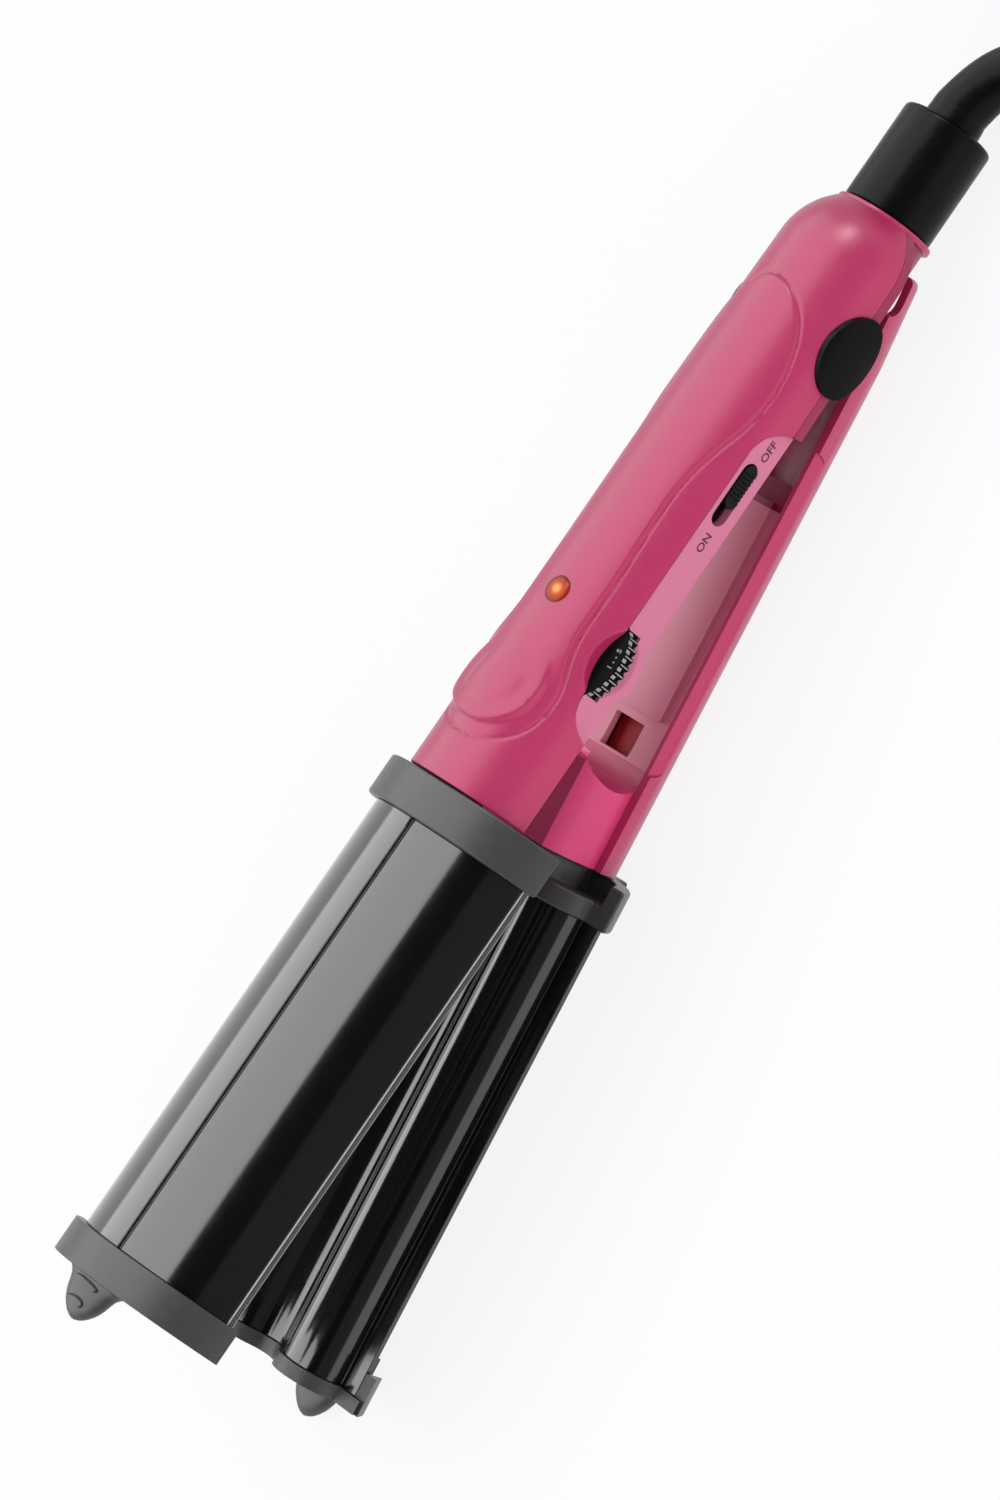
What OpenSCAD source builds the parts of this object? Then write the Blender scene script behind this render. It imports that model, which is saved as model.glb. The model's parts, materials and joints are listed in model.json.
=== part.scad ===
// Three barrel hair waver with a tweezer handle, lying open on its lower arm.
// Millimetres, +X to the tip, +Y to the switch side, +Z up.
// Both arms are drawn closed, from the hinge axis (x) and the handle axis (z),
// and the upper arm is then swung open about the hinge pin.

/* [Opening] */
// Angle between the two arms at rest, in degrees
open_angle = 10; // [9:0.5:12]
// Height of the handle axis above the surface that the waver lies on
axis_height = 20.8; // [20.6:0.1:23]

/* [Handle] */
// Radius of the round upper handle
handle_r = 19.4; // [18.5:0.1:21]
// Radius of the domed cord end of the handle
dome_r = 18.4; // [17.5:0.1:18.4]
// Distance of the dome's centre behind the hinge pin
dome_back = 16.5; // [14:0.5:18]
// Distance of the face that carries the sleeve behind the hinge pin
sleeve_face_back = 31; // [30:0.1:32]
// Place ahead of the hinge pin where the handle reaches its full radius
taper_end = 33; // [24:1:40]
// Place of the neck's end ahead of the hinge pin
neck_end = 128; // [127:0.1:128.2]
// Wall of the moulded handle shells
shell_wall = 2; // [1.6:0.1:2.2]
// Height of the top cover's lower edge above the handle axis
cover_edge = 4.7; // [4.2:0.1:5.2]
// Gap along the seams between moulded pieces of one arm
seam = 0.15; // [0.1:0.05:0.3]
// Height of the underside of the upper arm above the handle axis
base_z = 2.2; // [1.6:0.1:2.6]
// Thickness of the upper arm's floor
base_t = 1.6; // [1.2:0.1:1.8]
// Place where the upper arm's floor ends, short of the neck
base_end = 106; // [104:0.5:108]
// Height of the raised pad on the top cover above the round handle
pad_rise = 0.5; // [0.3:0.1:0.9]
// Height of the pad's lip at its front end above the round handle
lip_rise = 1.9; // [1.4:0.1:2.2]
// Place where the raised pad starts
pad_start = -6; // [-8:0.5:0]
// Place where the raised pad ends
pad_end = 117.2; // [112:0.1:118]
// Largest half width of the raised pad
pad_half_w = 14.4; // [12:0.1:15]

/* [Side panel] */
// Place where the flat side panel starts
panel_start = 22; // [20:0.5:26]
// How far the flat side panel runs past the dial's axis
panel_past_dial = 18.2; // [17:0.1:19]
// How far the flat side panel lies inside the round handle
panel_inset = 2.9; // [2.6:0.1:3.1]
// Wall of the side panel
panel_t = 2.3; // [2:0.1:2.4]
// Height of the panel's top edge above the handle axis
panel_top = 11; // [10.6:0.1:11.4]

/* [Power switch] */
// Place of the switch slot's middle
switch_x = 40.2; // [38:0.1:42]
// Height of the switch slot above the handle axis
switch_z = 7.6; // [7.4:0.1:7.8]
// Length of the switch slot
switch_slot_l = 16.2; // [15:0.1:17]
// Height of the switch slot
switch_slot_h = 4.8; // [4.4:0.1:5.2]
// Travel of the slider from OFF to ON
switch_travel = 4.4; // [3:0.1:5]
// Clearance all round the slider in its slot
switch_clear = 0.3; // [0.2:0.05:0.4]
// How far the slider stands out of the side panel
switch_proud = 0.5; // [0.2:0.1:1]
// Width of the slider's stem inside the switch
switch_stem_w = 3; // [2:0.1:4]

/* [Temperature dial] */
// Place of the dial's axis ahead of the hinge pin
dial_x = 86.6; // [84:0.1:88]
// Radius of the dial
dial_r = 12.4; // [11.6:0.1:13]
// Thickness of the dial
dial_t = 3.8; // [3.2:0.1:4]
// Height of the dial's underside above the handle axis
dial_z = 6.8; // [6.6:0.1:7]
// How far the dial stands out of the side panel
dial_proud = 2.9; // [2:0.1:3.4]
// Number of grip teeth on the dial
dial_teeth = 36; // [24:2:48]
// Depth of a grip tooth
dial_tooth = 0.6; // [0.4:0.1:0.9]
// Clearance round the dial in its slot
dial_clear = 0.4; // [0.3:0.05:0.6]
// Radius of the hollow ball that forms the dish round the dial
dish_r = 13.2; // [12.6:0.1:13.6]
// Distance of that ball's centre from the handle's skin
dish_out = 9.2; // [8.8:0.1:9.6]
// Slope of the dish, in degrees from upright
dish_slope = 68; // [62:1:74]
// Wall of the dish
dish_wall = 1.5; // [1.2:0.1:1.8]
// Diameter of the dial's spindle
spindle_d = 3; // [2.4:0.1:4]
// Radial clearance of the spindle in its control
spindle_clear = 0.05; // [0.03:0.01:0.08]
// Full turn of the dial, in degrees
dial_turn = 270; // [180:10:300]

/* [Indicator] */
// Place of the lamp's lens on the handle's crown
lens_x = 79.2; // [76:0.1:82]
// Diameter of the lens
lens_d = 6.6; // [5:0.1:8]
// How far the lens stands out of the cover
lens_proud = 1; // [0.6:0.1:1.6]

/* [Hinge] */
// Height of the hinge pin above the handle axis
pivot_z = 4.5; // [4:0.1:5]
// Diameter of the hinge pin
pin_d = 4; // [3:0.1:5]
// Radial clearance of the pin in its bushes
pin_clear = 0.05; // [0.03:0.01:0.08]
// Wall of a hinge bush
bush_wall = 1.2; // [0.8:0.1:1.6]
// Radius of the lower arm's hinge ears
ear_r = 8.4; // [7.6:0.1:8.8]
// Inner face of an ear, from the middle plane
ear_in = 12.9; // [12.6:0.1:13.2]
// Largest radius of an ear about the handle axis
ear_out_r = 17.4; // [17:0.1:17.6]
// Clearance between the ears and the upper arm
ear_clear = 0.5; // [0.4:0.05:0.6]
// Radius of the upper arm's hinge bosses
boss_r = 6.5; // [5.5:0.1:7]
// Inner face of a hinge boss, from the middle plane
boss_in = 7.5; // [6.5:0.1:8.5]
// Half length of the oval near hinge cap
cap_r = 10.1; // [9.6:0.1:10.4]
// Half height of the oval near hinge cap
cap_half_h = 6.4; // [6:0.1:7]
// How far the near hinge cap's middle lies ahead of the hinge pin
cap_shift = 0.8; // [0.4:0.1:1]
// Thickness of the near hinge cap
cap_t = 1.1; // [0.9:0.1:1.4]
// Radius of the far hinge cap
far_cap_r = 5; // [4.5:0.1:5.5]
// Thickness of the far hinge cap
far_cap_t = 0.6; // [0.5:0.1:0.8]
// Gap between a hinge cap and the handle
cap_gap = 0.15; // [0.1:0.05:0.3]
// Least wall of the near hinge cap over the end of the pin
cap_skin = 0.15; // [0.1:0.05:0.3]
// Wire diameter of the hinge spring
spring_wire = 1.6; // [1.2:0.1:1.8]
// Turns of the hinge spring
spring_turns = 4; // [3:1:5]

/* [Lower arm] */
// Radius of the round lower handle
lower_r = 18; // [17.6:0.1:18.4]
// Radius of the lower handle at the tip of its tail
tail_r = 17; // [16.6:0.1:17.2]
// Distance of the tail's tip behind the hinge pin
tail_back = 21.3; // [20.6:0.1:21.8]
// Half width of the fork between the two tail prongs
fork_half_w = 11.7; // [11.6:0.1:12.2]
// Place where the fork starts, behind the hinge pin
fork_back = 10; // [9:0.5:12]
// Height of the tail prongs' top, from the handle axis
prong_z = -5.8; // [-6.4:0.1:-5.6]
// Place behind the hinge pin where the prongs' top starts to rise
prong_root = 15.2; // [15:0.1:16]
// Radius of that rise
prong_round = 3.6; // [3.3:0.1:4]
// Height of the lower handle's top edge, from the handle axis
lower_edge = -2.2; // [-2.6:0.1:-1.8]
// Distance of the lower handle's flat side band from the middle plane
lower_band_y = 16.8; // [16.6:0.1:17.2]
// Place where the flat side band starts
lower_band_start = 22.7; // [20:0.1:25]
// Length of the flat side band
lower_band_l = 81; // [70:0.5:84]
// Wall of the lower handle
lower_wall = 2.2; // [1.8:0.1:2.4]
// Height of the inner cover's face, from the handle axis
inner_z = -6.5; // [-7:0.1:-6]
// Thickness of the inner cover
inner_t = 1.8; // [1.4:0.1:2.2]
// Place where the inner cover starts, ahead of the hinge pit
inner_start = 32; // [30:0.5:34]
// Start of the raised tongue panel on the inner cover
tongue_start = 37; // [35:0.5:40]
// End of the raised tongue panel
tongue_end = 92.3; // [90:0.1:93]
// Half width of the raised tongue panel
tongue_half_w = 9.5; // [8:0.1:10.5]
// Rise of the tongue panel above the inner cover
tongue_rise = 1.2; // [0.8:0.1:1.6]
// Place of the locating window's middle
window_x = 98.9; // [98.4:0.1:99.2]
// Length of the locating window along the handle
window_l = 8.2; // [7.8:0.1:8.6]
// Width of the locating window across the handle
window_w = 9.8; // [9:0.1:10.6]
// Clearance of the upper arm's locating peg in the window
peg_clear = 0.9; // [0.8:0.05:1.1]
// Depth of the locating peg below the inner cover's face when closed
peg_depth = 2.2; // [1.6:0.1:2.6]
// Radius of the lower collar's neck
neck_r = 12.5; // [12.2:0.1:12.8]
// Height of the neck block's flat top above the handle axis
neck_top = 11.4; // [11:0.1:11.6]
// Radius of the scooped end of the neck block
scoop_r = 10; // [9.5:0.1:10.5]
// Place of the scoop's axis
scoop_x = 100.2; // [99.8:0.1:100.6]
// Wall of the neck block
neck_wall = 1.8; // [1.5:0.1:2]
// Half width of the rest foot below the hinge
rear_foot_half_w = 4.5; // [3.5:0.1:5]
// Place where the rest foot below the hinge starts
rear_foot_start = 2; // [0:0.5:4]
// Length of the rest foot below the hinge
rear_foot_l = 14; // [10:0.5:18]

/* [Jaws] */
// Place where the jaws start, at the root collars
jaw_start = 138.8; // [138.6:0.1:139.6]
// Length of the jaws between collar and cap
jaw_l = 114.6; // [90:0.1:130]
// How far the lower plate and back reach past the upper ones
lower_past = 3.3; // [2.8:0.1:3.8]
// Radius of each jaw's arched back
arch_r = 30.4; // [30.4:0.1:32]
// Height of the upper jaw's crown above the handle axis
upper_crown = 16.6; // [16.4:0.1:17.4]
// Depth of the lower jaw's crown below the handle axis
lower_crown = 15.2; // [15:0.1:16]
// Wall of the arched backs
arch_wall = 1.2; // [1:0.05:1.3]
// Radius of a waving barrel
barrel_r = 8.9; // [8.5:0.1:9]
// Distance of a barrel's axis from the middle plane
barrel_y = 12.4; // [12:0.1:12.6]
// Height of the barrels' axes, from the handle axis
barrel_z = -1.2; // [-1.6:0.1:-1]
// Radius of the ridge that presses between the barrels
ridge_r = 5.6; // [5.2:0.1:6]
// Gap left for hair between the closed plates
hair_gap = 0.9; // [0.8:0.05:1]
// Height of the lower plate's flat lip, from the handle axis
lip_z = -0.65; // [-0.8:0.05:-0.5]
// Half width of the jaws over their lips
jaw_half_w = 26.6; // [26.2:0.1:27]
// Wall of the waving plates
plate_t = 1.4; // [1.2:0.05:1.45]
// Height of the heater's land inside a lower barrel
lower_land = 2.6; // [2:0.1:3]
// Height of the heater's land inside the upper ridge
upper_land = 6.4; // [6:0.1:7]
// Width of the groove along the upper jaw's crown
crown_groove = 0.6; // [0.4:0.1:1]

/* [Collars and caps] */
// How far collars and caps stand out of the arched backs
collar_proud = 2.7; // [2.2:0.1:3]
// Length of a root collar
collar_l = 10.2; // [9.8:0.1:10.4]
// Length of the upper tip cap
tip_l = 8.6; // [8:0.1:9.5]
// Length of the lower tip cap past its jaw
lower_tip_l = 3.5; // [3:0.1:4]
// Length of the lower tip cap's side lugs
tip_lug_l = 9.4; // [8.5:0.1:10]
// How far those lugs stand out of the arched back
tip_lug_proud = 3.7; // [3:0.1:4]
// How far the lower collar and cap stand out of the barrels
band_proud = 1; // [0.8:0.05:1.1]
// Length of the lower collar's band on the barrels
band_l = 5; // [4:0.1:6]
// Gap between the closed collars, and between the closed caps
collar_gap = 0.6; // [0.5:0.05:0.7]
// Depth of the plugs that hold plates and backs
plug_depth = 4; // [3:0.1:5]
// Clearance of those plugs
plug_clear = 0.2; // [0.15:0.05:0.25]
// Width of the lower collar's side lugs
lug_w = 4.2; // [3.6:0.1:4.8]
// Height of the floor between those lugs and the neck, from the handle axis
lug_floor = -8; // [-9:0.1:-7]
// Length of the upper finger nose
upper_nose_l = 9.8; // [9:0.1:11]
// Length of the lower finger nose
lower_nose_l = 10.8; // [10:0.1:12]
// Half width of a finger nose
nose_half_w = 7; // [6:0.1:8]
// Half height of a finger nose
nose_half_h = 3.1; // [2.8:0.1:3.4]
// Height of the lower finger nose above the floor
nose_lift = 0.4; // [0.3:0.1:0.8]
// Half width of the rest feet below the lower collar and cap
foot_half_w = 10; // [8:0.1:11]

/* [Heaters] */
// Length of a heater bar
heater_l = 90; // [70:1:100]
// Thickness of a heater bar
heater_t = 3.4; // [3:0.1:3.6]
// Width of a lower heater bar
lower_heater_w = 10; // [8:0.1:10.5]
// Width of the upper heater bar
upper_heater_w = 6.4; // [5:0.1:6.6]
// Thickness of the clips that press the heaters home
clip_t = 0.8; // [0.6:0.1:1]

/* [Cord sleeve] */
// Length of the cord sleeve
sleeve_l = 25.6; // [24:0.1:26.5]
// Radius of the cord sleeve
sleeve_r = 11.2; // [11:0.1:11.4]
// Rounding of the sleeve's outer end
sleeve_round = 1; // [0.6:0.1:1.6]
// Length of the sleeve's spigot in the handle
spigot_l = 9; // [7:0.5:10]
// Radius of the sleeve's spigot
spigot_r = 8.4; // [8:0.1:8.6]
// Radius of the swivel spool
spool_r = 6; // [5.4:0.1:6.4]
// Running clearance of the swivel spool
spool_clear = 0.08; // [0.05:0.01:0.1]
// Length of the swivel spool
spool_l = 18; // [14:0.5:20]
// Bore for the lead's wires through the swivel
wire_bore_d = 4; // [3:0.1:5]

/* [Cord] */
// Diameter of the mains lead
cord_d = 7; // [6.9:0.05:7.05]
// Diameter of the strain relief where it leaves the sleeve
relief_d0 = 13.8; // [13:0.1:14.4]
// Diameter of the strain relief at its thin end
relief_d1 = 11.4; // [10:0.1:12]
// Least radius of the coil's turns
coil_r_min = 20; // [19:0.5:21]
// Turns in each layer of the coil
coil_layer_turns = 2.27; // [2.25:0.01:2.3]
// Layers of the coil
coil_layers = 4; // [4]
// Distance between neighbouring turns
coil_pitch = 7.6; // [7.5:0.05:8]
// Length of the drop from the coil's last turn to the plug
coil_tail = 44; // [42:0.5:48]
// Thickness of the coil's tie
tie_t = 1; // [0.8:0.1:1.2]
// Width of the coil's tie
tie_w = 8; // [5:0.5:12]
// Length of the plug's body
plug_l = 34; // [28:0.5:38]
// Width of the plug's body
plug_w = 26; // [22:0.5:30]
// Length of a plug blade
blade_l = 16.5; // [15:0.5:18]
// Width of a plug blade
blade_w = 6.4; // [6:0.1:7]
// Thickness of a plug blade
blade_t = 1.5; // [1.4:0.1:1.6]
// Distance between the plug blades
blade_gap = 12.7; // [12:0.1:13]

/* [Hidden] */
$fn = 72;
// A length past every piece, for cutting planes
far = 200;

// Handle and hinge
sleeve_face = -sleeve_face_back;
dome_x = -dome_back;
handle_bore_r = handle_r - shell_wall;
panel_y = handle_r - panel_inset;
panel_end = dial_x + panel_past_dial;
dish_y = (handle_r + dish_out) * sin(dish_slope);
dish_z = (handle_r + dish_out) * cos(dish_slope);
lamp_r = 2.2;
lamp_gap = 0.6;
panel_in = panel_y - panel_t;
base_top = base_z + base_t;
cap_in_r = dome_r + (handle_r - dome_r) * (cap_r + cap_shift + dome_back) / (taper_end + dome_back) + cap_gap;
bush_r = pin_d / 2 + pin_clear + bush_wall;
near_pin_l = sqrt(pow(cap_in_r + cap_t, 2) - pow(pivot_z + pin_d / 2, 2)) - cap_skin;
far_pin_l = sqrt(pow(cap_in_r, 2) - pow(pivot_z, 2)) + far_cap_t / 2;
dial_y = panel_y + dial_proud - dial_r;
slider_l = switch_slot_l - switch_travel - 2 * switch_clear;
slider_x = switch_x - switch_slot_l / 2 + switch_clear;
board_z = base_top + 0.5;
board_t = 1.2;
board_top = board_z + board_t;
board_half_w = dial_y + spindle_d / 2 + 1.5;
board_start = 28;
board_end = dial_x + 8;
control_r = 5;
control_gap = 0.1;

// Jaws
jaw_end = jaw_start + jaw_l;
upper_arch_z = upper_crown - arch_r;
lower_arch_z = arch_r - lower_crown;
ridge_z = barrel_z + sqrt(pow(barrel_r + hair_gap + ridge_r, 2) - pow(barrel_y, 2));
upper_lip = lip_z + hair_gap;
upper_rim = upper_lip + plate_t + seam;
lower_rim = lip_z - plate_t - seam;
collar_start = jaw_start - collar_l;
cap_end = jaw_end + tip_l;
lower_jaw_end = jaw_end + lower_past;
lower_cap_end = lower_jaw_end + lower_tip_l;
tip_lug_start = lower_cap_end - tip_lug_l;
nose_tip = lower_cap_end + lower_nose_l;
foot_z = -axis_height;
upper_nose_z = upper_crown + collar_proud - nose_half_h - seam;
lower_nose_z = foot_z + nose_lift + nose_half_h;
heater_start = jaw_start + (jaw_l - heater_l) / 2;
clip_span = heater_l * 0.6;
clip_start = heater_start + (heater_l - clip_span) / 2;

// Cord sleeve and swivel
sleeve_end = sleeve_face - sleeve_l;
spool_start = sleeve_end + 6;
sleeve_rear = (sleeve_end + sleeve_round) * cos(open_angle)
    - (sleeve_r - sleeve_round - pivot_z) * sin(open_angle) - sleeve_round;
origin_x = (nose_tip + sleeve_rear) / 2;

// The cord's route on the floor, chosen by hand, in the finished frame
cord_r = cord_d / 2;
lay_z = tie_t + 0.2 + cord_r;
exit_point = [sleeve_end * cos(open_angle) + pivot_z * sin(open_angle) - origin_x, 0,
    sleeve_end * sin(open_angle) - pivot_z * cos(open_angle) + pivot_z + axis_height];
exit_dir = [-cos(open_angle), 0, -sin(open_angle)];
relief_route = [[-172.3, 1.2, 8.9], [-175.7, 2.8, 8.4], [-178.6, 4.8, 7.9], [-181.3, 7.5, 7.4],
    [-183.6, 11, 7], [-185.5, 14.6, 6.7], [-187.3, 18.4, 6.5]];
relief_end = relief_route[len(relief_route) - 1];
relief_heading = 115;
lead_bend = 57;
lead_bend_r = 28;
lead_gap = 0.4;
lead_start = lead_gap / lead_bend_r * 180 / PI;
lead_run = 18;
coil_start_angle = relief_heading + lead_bend - 90;
coil_step = 15;
layer_angle = coil_layer_turns * 360;
coil_end = coil_layers * layer_angle;
coil_layer = cord_d + 0.6;

// Colours as the photograph shows them
pink = [0.74, 0.24, 0.43];
satin_grey = [0.25, 0.25, 0.26];
gloss_black = [0.05, 0.05, 0.05];
soft_black = [0.08, 0.08, 0.08];
amber = [0.85, 0.35, 0.08];
steel = [0.62, 0.63, 0.65];
brass = [0.75, 0.6, 0.3];
board_green = [0.1, 0.35, 0.2];
ceramic = [0.88, 0.86, 0.8];

// Places a piece of the lower arm, which lies level
module in_lower() {
    translate([-origin_x, 0, axis_height]) children();
}

// Places a piece of the upper arm, swung open about the hinge pin
module in_upper() {
    in_lower() translate([0, 0, pivot_z]) rotate([0, -open_angle, 0]) translate([0, 0, -pivot_z]) children();
}

// Carries a section drawn in Y and Z from x0 to x1
module along_x(x0, x1) {
    translate([x0, 0, 0]) rotate([90, 0, 90]) linear_extrude(x1 - x0) children();
}

// Turns a profile of [radius, x] points about the handle axis
module turned() {
    rotate([0, 90, 0]) rotate_extrude() children();
}

// A round bar along X
module bar_x(r, x0, x1) {
    translate([x0, 0, 0]) rotate([0, 90, 0]) cylinder(r = r, h = x1 - x0);
}

// A round bar along Y through the hinge axis
module bar_y(r, y0, y1) {
    translate([0, y1, pivot_z]) rotate([90, 0, 0]) cylinder(r = r, h = y1 - y0);
}

// A block between two corners
module block(a, b) {
    translate(a) cube(b - a);
}

// The round handle as a solid, drawn in from its skin by inset and ending at x1
module handle_form(inset, x1) {
    intersection() {
        union() {
            translate([dome_x, 0, 0]) sphere(r = dome_r - inset);
            turned() polygon([[0, dome_x], [dome_r - inset, dome_x], [handle_r - inset, taper_end],
                [handle_r - inset, x1], [0, x1]]);
        }
        block([sleeve_face, -far, -far], [x1, far, far]);
    }
}

// Room for the lower arm's ears and the flats beneath the hinge caps, on side s
module ear_room(s) {
    reach = s * (ear_in - ear_clear);
    scale_y = s * far;
    y0 = min(reach, scale_y);
    y1 = max(reach, scale_y);
    bar_y(ear_r + ear_clear, y0, y1);
    block([-ear_r - 2 * ear_clear, y0, -far], [ear_r + 2 * ear_clear, y1, pivot_z]);
}

// The flat cut that the side panel fills, on side s
module panel_cut(s, top) {
    y0 = s > 0 ? panel_in : -far;
    y1 = s > 0 ? far : -panel_in;
    corner = panel_top - base_z;
    block([panel_start + corner, y0, -far], [panel_end - corner, y1, top]);
    for (x = [panel_start + corner, panel_end - corner])
        translate([x, y1, base_z]) rotate([90, 0, 0]) cylinder(r = top - base_z, h = y1 - y0);
}

// Section of the side panel: a flat wall with round ends
module panel_plate(s) {
    corner = panel_top - base_z - seam;
    y0 = s > 0 ? panel_in : -panel_y;
    y1 = y0 + panel_t;
    intersection() {
        union() {
            block([panel_start + corner + seam, y0, base_z],
                [panel_end - corner - seam, y1, panel_top - seam]);
            for (x = [panel_start + corner + seam, panel_end - corner - seam])
                translate([x, y1, base_z]) rotate([90, 0, 0]) cylinder(r = corner, h = panel_t);
        }
        block([-far, -far, base_z], [far, far, far]);
    }
}

// Slot in the side panel for the switch slider, grown by grow
module switch_slot(l, h, y0, y1) {
    r = h / 2;
    for (x = [-1, 1])
        translate([x * (l / 2 - r), y1, 0]) rotate([90, 0, 0]) cylinder(r = r, h = y1 - y0);
    block([-l / 2 + r, y0, -r], [l / 2 - r, y1, r]);
}

// The raised pad's outline in plan: share of its length, share of its half width
pad_half = [[0.012, 0.42], [0.037, 0.65], [0.065, 0.8], [0.1, 0.9], [0.155, 0.985], [0.21, 1], [0.27, 0.94],
    [0.33, 0.82], [0.39, 0.72], [0.45, 0.68], [0.54, 0.69], [0.7, 0.69], [0.75, 0.71], [0.79, 0.78],
    [0.825, 0.86], [0.865, 0.92], [0.915, 0.85], [0.963, 0.62], [0.992, 0.29]];
function pad_pt(p, side) = [pad_start + p[0] * (pad_end - pad_start), side * p[1] * pad_half_w];
pad_plan = concat([[pad_start, 0]], [for (p = pad_half) pad_pt(p, 1)], [[pad_end, 0]],
    [for (i = [len(pad_half) - 1:-1:0]) pad_pt(pad_half[i], -1)]);
pad_ramp = (pad_start + pad_end) / 2;

// The raised pad over the handle's skin: an even skin, rising to the lip at its front end
module pad_form() {
    handle_form(-pad_rise, pad_end);
    turned() polygon([[0, pad_ramp], [handle_r + pad_rise, pad_ramp], [handle_r + lip_rise, pad_end - 6],
        [handle_r + pad_rise, pad_end - 3], [handle_r, pad_end], [0, pad_end]]);
}

// A ball round the dish, r larger than its hollow
module dish_ball(r) {
    translate([dial_x, dish_y, dish_z]) sphere(r = dish_r + r);
}

// Room for the dial
module dial_room() {
    translate([dial_x, dial_y, dial_z - dial_clear])
        cylinder(r = dial_r + dial_clear, h = dial_t + 2 * dial_clear);
}

// Pink top cover of the upper arm, with the raised pad along its crown
module upper_top_cover() {
    color(pink) in_upper() difference() {
        union() {
            difference() {
                handle_form(0, neck_end);
                handle_form(shell_wall, neck_end + 1);
            }
            difference() {
                intersection() {
                    pad_form();
                    translate([0, 0, panel_top]) linear_extrude(far) polygon(pad_plan);
                }
                handle_form(shell_wall / 2, neck_end);
            }
            intersection() {
                handle_form(0, neck_end);
                dish_ball(dish_wall);
                block([-far, 0, dial_z + dial_t], [far, far, far]);
            }
        }
        block([-far, -far, -far], [far, far, cover_edge]);
        for (s = [-1, 1]) {
            ear_room(s);
            panel_cut(s, panel_top);
        }
        dish_ball(0);
        dial_room();
        bar_x(spigot_r + seam, sleeve_face - 1, sleeve_face + spigot_l + seam);
        translate([lens_x, 0, 0]) cylinder(r = lens_d / 2 + seam, h = far);
    }
    color(pink) in_upper() for (x = screw_places) difference() {
        intersection() {
            handle_form(shell_wall / 2, neck_end);
            translate([x, 0, base_top + seam]) cylinder(r = screw_boss_r, h = far);
        }
        translate([x, 0, 0]) cylinder(r = screw_r, h = base_z + screw_l);
    }
}

// Pink base of the upper arm: floor, side panels, hinge bosses, swivel housing and locating peg
module upper_base_cover() {
    color(pink) in_upper() difference() {
        union() {
            difference() {
                intersection() {
                    handle_form(0, base_end);
                    block([sleeve_face, -far, base_z], [base_end, far, cover_edge - seam]);
                }
                intersection() {
                    handle_form(shell_wall, base_end - shell_wall);
                    block([dome_x + shell_wall, -far, base_top], [base_end - shell_wall, far, far]);
                }
                for (s = [-1, 1]) panel_cut(s, panel_top);
            }
            intersection() {
                dish_ball(dish_wall);
                block([-far, panel_in - 1, -far], [far, panel_y, dial_z]);
            }
            for (s = [-1, 1]) {
                panel_plate(s);
                bar_y(boss_r, s > 0 ? boss_in : -ear_in + ear_clear, s > 0 ? ear_in - ear_clear : -boss_in);
            }
            intersection() {
                bar_x(sleeve_r - seam, sleeve_face, dome_x + shell_wall);
                block([-far, -far, -far], [far, far, cover_edge - seam]);
            }
            block([window_x - window_l / 2 + peg_clear, -window_w / 2 + peg_clear, inner_z - peg_depth],
                [window_x + window_l / 2 - peg_clear, window_w / 2 - peg_clear, base_z + 0.5]);
        }
        for (s = [-1, 1]) ear_room(s);
        dish_ball(0);
        block([-spring_r - spring_wire, -boss_in, -far], [spring_leg + spring_wire, boss_in, base_top + 1]);
        bar_y(pin_d / 2, -far, far);
        bar_x(spigot_r + seam, sleeve_face - 1, sleeve_face + spigot_l + seam);
        bar_x(wire_bore_d / 2 + 1, sleeve_face, dome_x + 3 * shell_wall);
        dial_room();
        translate([switch_x, 0, switch_z]) switch_slot(switch_slot_l, switch_slot_h, 0, far);
        for (x = screw_places) translate([x, 0, 0]) cylinder(r = screw_r, h = far);
    }
}

// Domed amber lens over the indicator lamp
module indicator_lens() {
    dome = (pow(lens_d / 2, 2) + pow(lens_proud, 2)) / (2 * lens_proud);
    top = handle_r + pad_rise + lens_proud;
    color(amber) in_upper() translate([lens_x, 0, 0]) union() {
        intersection() {
            translate([0, 0, handle_bore_r]) cylinder(r = lens_d / 2, h = far);
            translate([0, 0, top - dome]) sphere(r = dome);
        }
        translate([0, 0, handle_bore_r - 1])
            cylinder(r = lens_d / 2, h = top - lens_proud - handle_bore_r + 1);
    }
}

// Indicator lamp under the lens, on a bent lead that passes the dial and stands on the board
module indicator_lamp() {
    foot = dial_z + dial_t + dial_clear + 0.3;
    crown = handle_bore_r - 1 - lamp_gap - lamp_r;
    lead_x = dial_x - dial_r - dial_clear - 3;
    color(amber) in_upper() {
        translate([lens_x, 0, foot]) cylinder(r = lamp_r, h = crown - foot);
        intersection() {
            translate([lens_x, 0, crown]) sphere(r = lamp_r);
            translate([lens_x - lamp_r, -lamp_r, foot]) cube([2 * lamp_r, 2 * lamp_r, far]);
        }
        block([lead_x, -1.4, foot], [lens_x, -0.4, foot + 1]);
        block([lead_x, -1.4, board_top], [lead_x + 1, -0.4, foot + 1]);
    }
}

// Circuit board on the upper arm's floor, with a hole for the dial's spindle
module circuit_board() {
    color(board_green) in_upper() difference() {
        union() {
            block([board_start, -board_half_w, board_z], [board_end, board_half_w, board_top]);
            for (x = [board_start + 2, board_end - 22], y = [-6, 6])
                translate([x, y, base_top]) cylinder(r = 1.5, h = board_z - base_top);
        }
        translate([dial_x, dial_y, 0]) cylinder(r = spindle_d / 2 + 4 * spindle_clear, h = far);
        for (x = screw_places) translate([x, 0, 0]) cylinder(r = screw_boss_r + 2 * seam, h = far);
    }
}

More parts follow.
